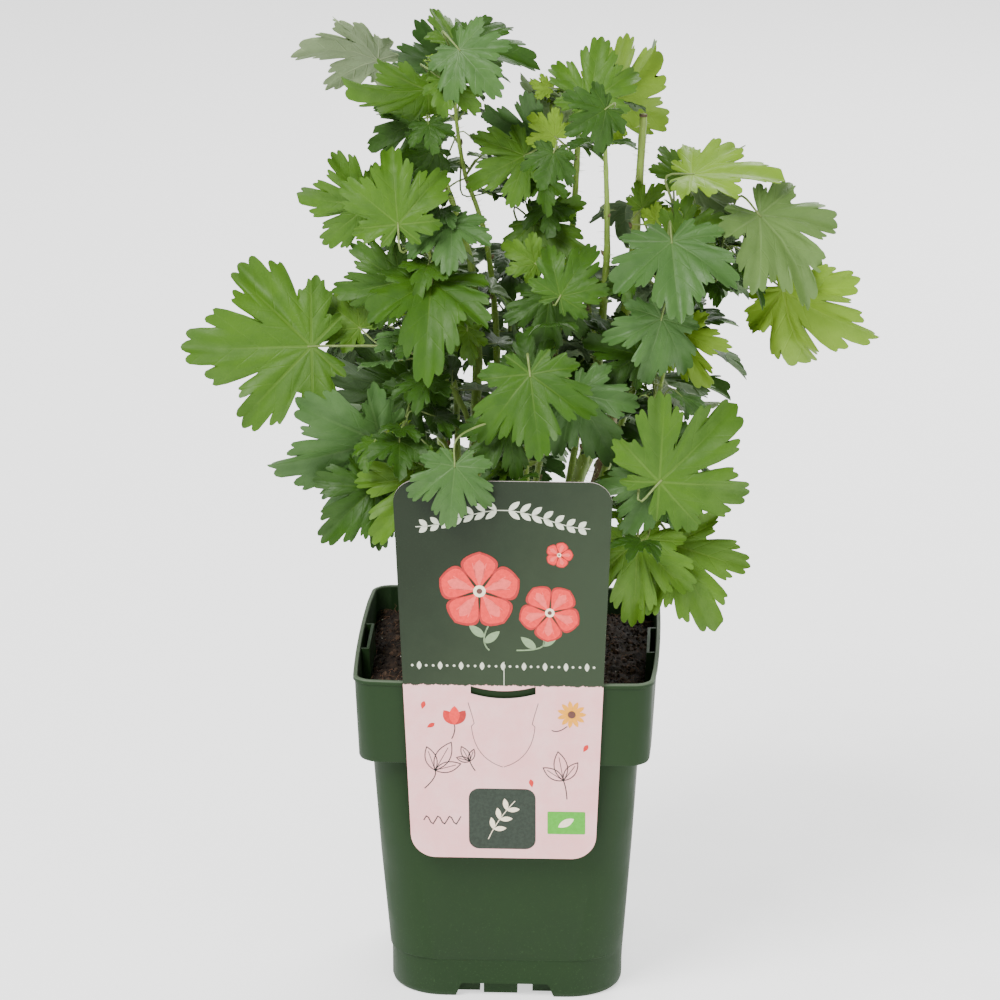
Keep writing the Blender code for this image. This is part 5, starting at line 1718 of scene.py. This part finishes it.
def card_outline():
    """The card's edge, round its four soft corners."""
    outline = []
    for edge, corner, turns in (
        (CARD_ABOVE_RIM, CARD_TOP_CORNER, ((1, 2, 90), (-1, 90, 178))),
        (-CARD_BELOW_RIM, CARD_FOOT_CORNER, ((-1, 182, 270), (1, 270, 358))),
    ):
        side, level = card_half(edge) - corner, edge - math.copysign(corner, edge)
        for sign, start, end in turns:
            outline += arc_points((sign * side, level), corner, start, end, CARD_CORNER_STEPS)
    return outline


def window():
    """The hole in the card: a band that sags in the middle, its upper edge just below the rim."""
    across = [WINDOW_WIDTH * (i / WINDOW_STEPS - 0.5) for i in range(WINDOW_STEPS + 1)]
    upper = [(x, -WINDOW_DROP - WINDOW_SAG * (1 - (2 * x / WINDOW_WIDTH) ** 2)) for x in across]
    return upper + [(x, y - WINDOW_HEIGHT) for x, y in upper[::-1]]


def make_card(finishes):
    """The flat card with its window, printed in front and plain behind and at its edges."""
    curve = bpy.data.curves.new("label_sheet", "CURVE")
    curve.dimensions = "2D"
    curve.fill_mode = "BOTH"
    curve.extrude = CARD_THICKNESS / 2 * MM
    for outline in (card_outline(), window()):
        spline = curve.splines.new("POLY")
        spline.points.add(len(outline) - 1)
        spline.points.foreach_set("co", [value for x, y in outline for value in (x * MM, y * MM, 0, 1)])
        spline.use_cyclic_u = True
    made = bpy.data.objects.new("label_sheet", curve)
    bpy.context.scene.collection.objects.link(made)
    bpy.context.view_layer.update()
    mesh = bpy.data.meshes.new_from_object(made.evaluated_get(bpy.context.evaluated_depsgraph_get()))
    bpy.data.objects.remove(made, do_unlink=True)
    mesh.transform(Matrix.Scale(MM, 4) @ CARD_PLACE @ Matrix.Scale(1 / MM, 4))
    mesh.name = "label_sheet"
    mesh.materials.clear()
    for finish in finishes:
        mesh.materials.append(finish)
    welded = bmesh.new()
    welded.from_mesh(mesh)
    bmesh.ops.remove_doubles(welded, verts=welded.verts, dist=1e-6)
    front = (CARD_PLACE.to_3x3() @ Vector((0, 0, 1))).normalized()
    for face in welded.faces:
        face.material_index = 0 if face.normal.dot(front) > 0.9 else 1
    welded.to_mesh(mesh)
    welded.free()
    made = bpy.data.objects.new("label_sheet", mesh)
    bpy.context.scene.collection.objects.link(made)
    return made


def tongue(finish):
    """From the card just above the rim, over it and down inside the pot."""
    inner = CARD_THICKNESS / 2 - (RIM_WIDTH / 2 + SIDE_BOW - WALL - RIM_BEAD_PROUD - GAP)
    half, foot = TONGUE_WIDTH / 2, POT_HEIGHT - TONGUE_DROP
    points = []
    for y, z, wide in (
        (TONGUE_SUNK - CARD_FRONT, POT_HEIGHT + GAP + 0.2, half),
        (inner, POT_HEIGHT + GAP + CARD_THICKNESS / 2, half),
        (inner + 1, foot + 4, half * 0.9),
        (inner + 1, foot, half * 0.3),
    ):
        points += [(-wide, y, z), (wide, y, z)]
    faces = [(i, i + 1, i + 3, i + 2) for i in (0, 2, 4)]
    made = mesh_object("label_tongue", points, faces, finish)
    thick = made.modifiers.new("thickness", "SOLIDIFY")
    thick.thickness = CARD_THICKNESS * MM
    thick.offset = 0
    plain_mesh(made)
    made.data.name = "label_tongue"
    return made


class Print:
    """Thin flat shapes of one colour, laid on the card."""

    def __init__(self, lift):
        self.shapes = Joined()
        self.lift = PRINT_LIFT + lift

    def fan(self, middle, outline):
        """A shape whose whole outline can be seen from its middle, given anticlockwise."""
        count, half = len(outline), PRINT_THICKNESS / 2
        back, points, faces = count + 1, [], []
        for level in (self.lift + half, self.lift - half):
            points += [CARD_PLACE @ Vector((*place, level)) for place in (middle, *outline)]
        for i in range(count):
            k, m = 1 + i, 1 + (i + 1) % count
            faces += [(0, k, m), (back, back + m, back + k), (k, back + k, back + m), (k, back + m, m)]
        self.shapes.add(points, faces)

    def disc(self, x, y, radius, steps=28):
        """A filled circle."""
        self.fan((x, y), arc_points((x, y), radius, 0, 360 - 360 / steps, steps - 1))

    def leaf(self, x, y, aim, length, width, fullest=0.5, steps=9):
        """A blade from x, y, pointed at both ends or, with fullest near 1, blunt at its tip."""
        foot, along = Vector((x, y)), heading(aim)
        power = math.log(0.5) / math.log(fullest)
        right, left = [], []
        for share in (i / steps for i in range(1, steps)):
            wide = aside(along) * width / 2 * math.sin(math.pi * share ** power) ** 0.8
            place = foot + along * length * share
            right.append(place - wide)
            left.append(place + wide)
        self.fan(foot + along * length * 0.5, [foot, *right, foot + along * length, *left[::-1]])

    def box(self, x, y, wide, tall, corner):
        """A filled rectangle with round corners."""
        high, side = tall / 2 - corner, wide / 2 - corner
        outline = []
        for turn, (sx, sy) in enumerate(((1, 1), (-1, 1), (-1, -1), (1, -1))):
            outline += arc_points((x + sx * side, y + sy * high), corner, turn * 90, turn * 90 + 90, 6)
        self.fan((x, y), outline)

    def stroke(self, path, width):
        """A line of this width through these points."""
        path = [Vector(place) for place in path]
        for start, end in zip(path, path[1:]):
            along = (end - start).normalized()
            a, b = start - along * width * 0.3, end + along * width * 0.3
            half = aside(along) * width / 2
            self.fan((a + b) / 2, [a - half, b - half, b + half, a + half])


def curve_points(start, bend, end, steps=8):
    """A quadratic curve on the card."""
    start, bend, end = Vector(start), Vector(bend), Vector(end)
    shares = [i / steps for i in range(steps + 1)]
    return [(1 - t) ** 2 * start + 2 * t * (1 - t) * bend + t * t * end for t in shares]


def print_blossoms(inks):
    """Coral blossoms on the dark field, each with a pale eye and streaked petals."""
    for x, y, reach, petals, turned in BLOSSOMS:
        for i in range(petals):
            aim = turned + 360 * i / petals
            wide = reach * 1.5 * math.sin(math.pi / petals)
            inks["coral_deep"].leaf(x, y, aim, reach, wide, 0.68, 16)
            inks["coral"].leaf(x, y, aim, reach * 0.95, wide * 0.86, 0.68, 16)
            inks["blush"].leaf(x, y, aim, reach * 0.80, wide * 0.30, 0.72, 10)
            for off in (-13, 13):
                streak = [Vector((x, y)) + heading(aim + off) * reach * share for share in (0.35, 0.72)]
                inks["blush"].stroke(streak, reach * 0.022)
        inks["cream"].disc(x, y, reach * 0.15)
        inks["eye"].disc(x, y, reach * 0.07, 16)


def print_garlands(inks):
    """A sprig of pale leaves along the top, stalks under the blossoms and a row of small marks."""
    line = []
    for i in range(GARLAND_LEAVES + 1):
        share = i / GARLAND_LEAVES * 2 - 1
        x, y = share * GARLAND_WIDTH / 2, GARLAND_HEIGHT + GARLAND_RISE * math.cos(share * math.pi)
        line.append((x, y))
        if 0 < i < GARLAND_LEAVES:
            for turn in (40, -40):
                inks["pale"].leaf(x, y, turn if x > 0 else 180 - turn, 6.4 - 2.2 * abs(share), 2.5)
    inks["pale"].stroke(line, 0.35)
    for x, y, reach, _, _ in BLOSSOMS[:2]:
        side = math.copysign(1, x)
        stem = curve_points((x - side * reach * 0.2, y - reach * 0.9), (x, y - reach * 1.3), (side * 6, 16))
        inks["sage"].stroke(stem, 0.6)
        for place, turn in ((stem[3], 50), (stem[5], -50)):
            inks["sage"].leaf(*place, 90 - side * turn, 8.5, 3.6, 0.45)
    for i in range(ROW_MARKS):
        x = ROW_WIDTH * (i / (ROW_MARKS - 1) - 0.5)
        if i % 3 == 1:
            inks["pale"].leaf(x, ROW_HEIGHT - 1.9, 90, 3.8, 2.0, 0.5, 5)
        else:
            inks["pale"].disc(x, ROW_HEIGHT, 0.55, 12)


def print_sketches(inks):
    """Thin drawn flowers, a tulip and a daisy with loose petals, and the tongue's cut line."""
    ink = inks["ink"]
    inks["pale"].stroke(SLIT, 0.28)
    half = TONGUE_WIDTH / 2 + 2.6
    right = [(half, -8.6), (half - 1.5, -13.8), (half - 2.6, -18.2), (half - 1.4, -19.6)]
    right += [tuple(p) for p in curve_points(right[-1], (half - 2.6, -34.5), (0.3, -38.5), 10)[1:]]
    ink.stroke(right, 0.24)
    ink.stroke([(-x, y) for x, y in right], 0.24)
    for x, y, aim, size in SKETCHED_FLOWERS:
        start = Vector((x, y))
        for off, length in ((-46, 6.6 * size), (0, 8.6 * size), (46, 6.6 * size)):
            way = heading(aim + off) * length
            for bow in (0.42, -0.42):
                ink.stroke(curve_points(start, start + way * 0.45 + aside(way) * bow, start + way), 0.42)
            ink.stroke([start, start + way * 0.8], 0.3)
        ink.stroke(curve_points(start, (x + 1.2, y - 3), start - heading(aim) * 5.5 * size), 0.46)
    x, y = DAISY
    for i in range(11):
        inks["yellow"].leaf(x, y, i * 360 / 11, 6.4, 2.0, 0.62, 8)
    inks["eye"].disc(x, y, 1.7, 20)
    ink.stroke(curve_points((x - 2, y - 5.6), (x - 6, y - 9), (x - 8.5, y - 7.5)), 0.42)
    x, y = TULIP
    for colour, aim, length in (("red", 125, 8.2), ("coral_deep", 55, 8.2), ("coral", 90, 8.8)):
        inks[colour].leaf(x, y, aim, length, 4.6)
    ink.stroke(curve_points((x, y), (x + 0.6, y - 3), (x - 1.2, y - 6.5)), 0.46)
    for x, y, aim in LOOSE_PETALS:
        inks["red"].leaf(x, y, aim, 4.0, 2.0, 0.6, 8)
    ink.stroke([(-34.5 + i, -64.0 + 1.9 * math.sin(i * 1.25)) for i in range(17)], 0.5)


def print_patches(inks):
    """The two plain patches near the card's foot, with a sprig and a leaf on them."""
    inks["moss"].box(*PATCH)
    inks["leaf_print"].box(*SMALL_PATCH)
    x, y = PATCH[:2]
    stem = curve_points((x - 6, y - 9.5), (x - 2, y), (x + 5.5, y + 8.5))
    inks["cream"].stroke(stem, 0.35)
    for place in (stem[2], stem[4], stem[6]):
        for aim in (100, 5):
            inks["cream"].leaf(*place, aim, 5.6, 2.3)
    x, y = SMALL_PATCH[:2]
    inks["cream"].leaf(x - 3.6, y - 2.0, 30, 8.0, 3.4)


def print_label():
    """Everything printed on the card, one thin piece to each colour."""
    inks = {name: Print(lift) for name, (colour, lift) in INKS.items()}
    for draw in (print_blossoms, print_garlands, print_sketches, print_patches):
        draw(inks)
    made = []
    for name, (colour, lift) in INKS.items():
        worn = tuple(min(1, c * 1.12 + 0.01) for c in colour)
        finish = speckled_finish("print_" + name, colour, worn, 700.0, 0.45, 0.01)
        made.append(inks[name].shapes.piece("print_" + name, [finish], smooth=False))
    return made


def card_finish():
    """Printed card: a dark upper field down to a torn edge, rosy below, lightly mottled."""
    made = Finish("label_print", 0.46, CARD_DARK, 0.2)
    axes = made.axes()
    tear = made.stretched(1.0, 0.0, 0.0)
    ragged = made.speckle(330.0, 5.0, 0.75, tear)
    edge = made.sum("MULTIPLY_ADD", ragged, 0.0045, (POT_HEIGHT - TEAR_DROP) * MM)
    upper = made.ramp(made.sum("SUBTRACT", axes[2], edge), 0.0, 1.0, 0.0, 0.0002)
    chalk = made.speckle(90.0, 6.0, 0.7)
    dust = made.speckle(1500.0, 2.0, 0.6)
    slant = made.sum("MULTIPLY_ADD", axes[0], -1.2, axes[2])
    slant = made.sum("MULTIPLY_ADD", chalk, 0.05, made.sum("MULTIPLY", slant, -1.0))
    dark = made.blend(made.ramp(slant, 1.0, 0.0, -0.235, -0.12), CARD_DARK_PALE, CARD_DARK)
    dark = made.blend(made.ramp(dust, 0.0, 0.25, 0.5, 0.8), dark, CARD_DARK_PALE)
    rose = made.blend(made.ramp(chalk, 0.0, 1.0, 0.35, 0.7), CARD_ROSE, CARD_ROSE_PALE)
    rose = made.blend(made.ramp(dust, 0.0, 0.25, 0.5, 0.8), rose, (0.72, 0.45, 0.46))
    made.feed("Base Color", made.blend(upper, rose, dark))
    made.relief(dust, 0.02)
    return made.material


def make_stage():
    """A pale seamless floor, a white surround and three soft lights."""
    white = speckled_finish("floor_white", (0.90, 0.90, 0.90), (0.88, 0.88, 0.88), 20, 0.6, 0.02)
    glow = white.node_tree.nodes["Principled BSDF"].inputs
    glow["Emission Color"].default_value = (1, 1, 1, 1)
    glow["Emission Strength"].default_value = FLOOR_GLOW
    half = FLOOR_WIDTH / 2
    corners = [(-half, -half, 0), (half, -half, 0), (half, half, 0), (-half, half, 0)]
    mesh_object("floor", corners, [(0, 1, 2, 3)], white)
    world = bpy.data.worlds.new("studio")
    bpy.context.scene.world = world
    world.use_nodes = True
    world.node_tree.nodes["Background"].inputs["Color"].default_value = (1, 1, 1, 1)
    world.node_tree.nodes["Background"].inputs["Strength"].default_value = WORLD_STRENGTH
    for name, place, size, watts in LIGHTS:
        light = bpy.data.lights.new(name, "AREA")
        light.size = size
        light.energy = watts
        lamp = bpy.data.objects.new(name, light)
        aim = Vector(LIGHTS_AIM) - Vector(place)
        lamp.matrix_world = Matrix.Translation(place) @ aim.to_track_quat("-Z", "Y").to_matrix().to_4x4()
        bpy.context.scene.collection.objects.link(lamp)


def make_camera():
    """A long lens, raised and a little to the right, as in the photo."""
    pitch, yaw = CAMERA_PITCH, CAMERA_YAW
    back = Vector((math.sin(yaw) * math.cos(pitch), -math.cos(yaw) * math.cos(pitch), math.sin(pitch)))
    right = Vector((math.cos(yaw), math.sin(yaw), 0))
    data = bpy.data.cameras.new("camera")
    data.lens, data.sensor_width = CAMERA_LENS, 36
    camera = bpy.data.objects.new("camera", data)
    turned = Matrix((right, back.cross(right), back)).transposed().to_4x4()
    camera.matrix_world = Matrix.Translation(Vector(CAMERA_TARGET) * MM + back * CAMERA_DISTANCE) @ turned
    bpy.context.scene.collection.objects.link(camera)
    bpy.context.scene.camera = camera


def keep(made, slot, *nodes):
    """The piece rides on the one body and stands for these solids, which it hides. slot is not used."""
    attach(made, "root")
    if nodes:
        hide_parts(*nodes)
    return made


def draw_bush(strewn):
    """The leaves, the canes with their bristles, cut ends and buds, and the old stool."""
    routes, stems, crown = grow_bush()
    uppers = {tone: leaf_finish("leaf_" + tone, *colours) for tone, colours in LEAF_COLOURS.items()}
    lower = {tone: underside_finish("underside_" + tone, *pair) for tone, pair in UNDERSIDE_COLOURS.items()}
    blades, stalks = draw_leaves(crown, stems)
    masses = [mass.name for mass in MASSES]
    for tone, gathered in blades.items():
        under = lower["pale" if tone in ("pale", "under") else "green"]
        keep(gathered.piece("leaves_" + tone, [uppers[tone], under]), "leaf", *masses)
    keep(stalks.piece("leaf_stalks", [speckled("stalk_green")]), "leaf", *masses)
    young = stem_finish("young_wood", (0.15, 0.25, 0.030), (0.26, 0.40, 0.060), (0.12, 0.075, 0.04))
    aged = stem_finish("aged_wood", (0.17, 0.105, 0.06), (0.25, 0.38, 0.055), (0.075, 0.045, 0.03), aged=True)
    green, brown, runs = draw_wood(routes, stems)
    greens = [limb.name for limb in LIMBS if limb.name not in WOODY_CANES]
    young_canes = keep(green.piece("young_canes", [young]), "green_cane", *greens, *masses)
    woody_cane = keep(brown.piece("aged_cane", [aged]), "woody_cane", *WOODY_CANES)
    pale = speckled("bristle_pale")
    one = bristle("bristle")
    for name, bearer, seed in (("cane_bristles", young_canes, 7), ("aged_bristles", woody_cane, 8)):
        keep(strew(strewn, name, bearer, one, BRISTLES, BRISTLE_LENGTH, 0.5, seed, pale), "green_cane")
    bpy.data.objects.remove(one, do_unlink=True)
    rims, woods = draw_cut_ends(routes)
    keep(rims.piece("cut_rims", [speckled("cut_rim")]), "woody_cane")
    keep(woods.piece("cut_faces", [speckled("cut_wood")]), "green_cane")
    keep(draw_buds(runs).piece("buds", [speckled("bud_scale")]), "green_cane")
    old_bark = bark_finish("old_bark", (0.15, 0.11, 0.075), (0.05, 0.034, 0.024))
    keep(draw_stool().piece("stool_bark", [old_bark]), "woody_cane", "stem_base")


def draw_pot(strewn):
    """The pot with its rim slots and ribs, and the compost in it."""
    pot = make_pot()
    plastic = [pot.data.materials[0]]
    keep(pot, "pot_plastic", "pot")
    keep(make_rim_slots().piece("rim_slots", plastic, smooth=False), "pot_plastic")
    keep(make_foot_ribs().piece("foot_ribs", plastic, smooth=False), "pot_plastic")
    soil = soil_finish("moist_compost")
    fill, top = make_compost(soil)
    for piece in (fill, top, *strew_compost(strewn, top, soil)):
        keep(piece, "compost", "compost")


def draw_label():
    """The card with its tongue in the pot, and what is printed on it."""
    printed, edge = card_finish(), speckled("card_edge")
    for piece in (make_card([printed, edge]), tongue(edge)):
        keep(piece, "label_card", "label")
    for piece in print_label():
        keep(piece, "label_card")


def main():
    """Draws the whole plant, its stage and camera."""
    strewn = scatter_tree()
    draw_bush(strewn)
    draw_pot(strewn)
    draw_label()
    make_stage()
    make_camera()
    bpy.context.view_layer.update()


main()
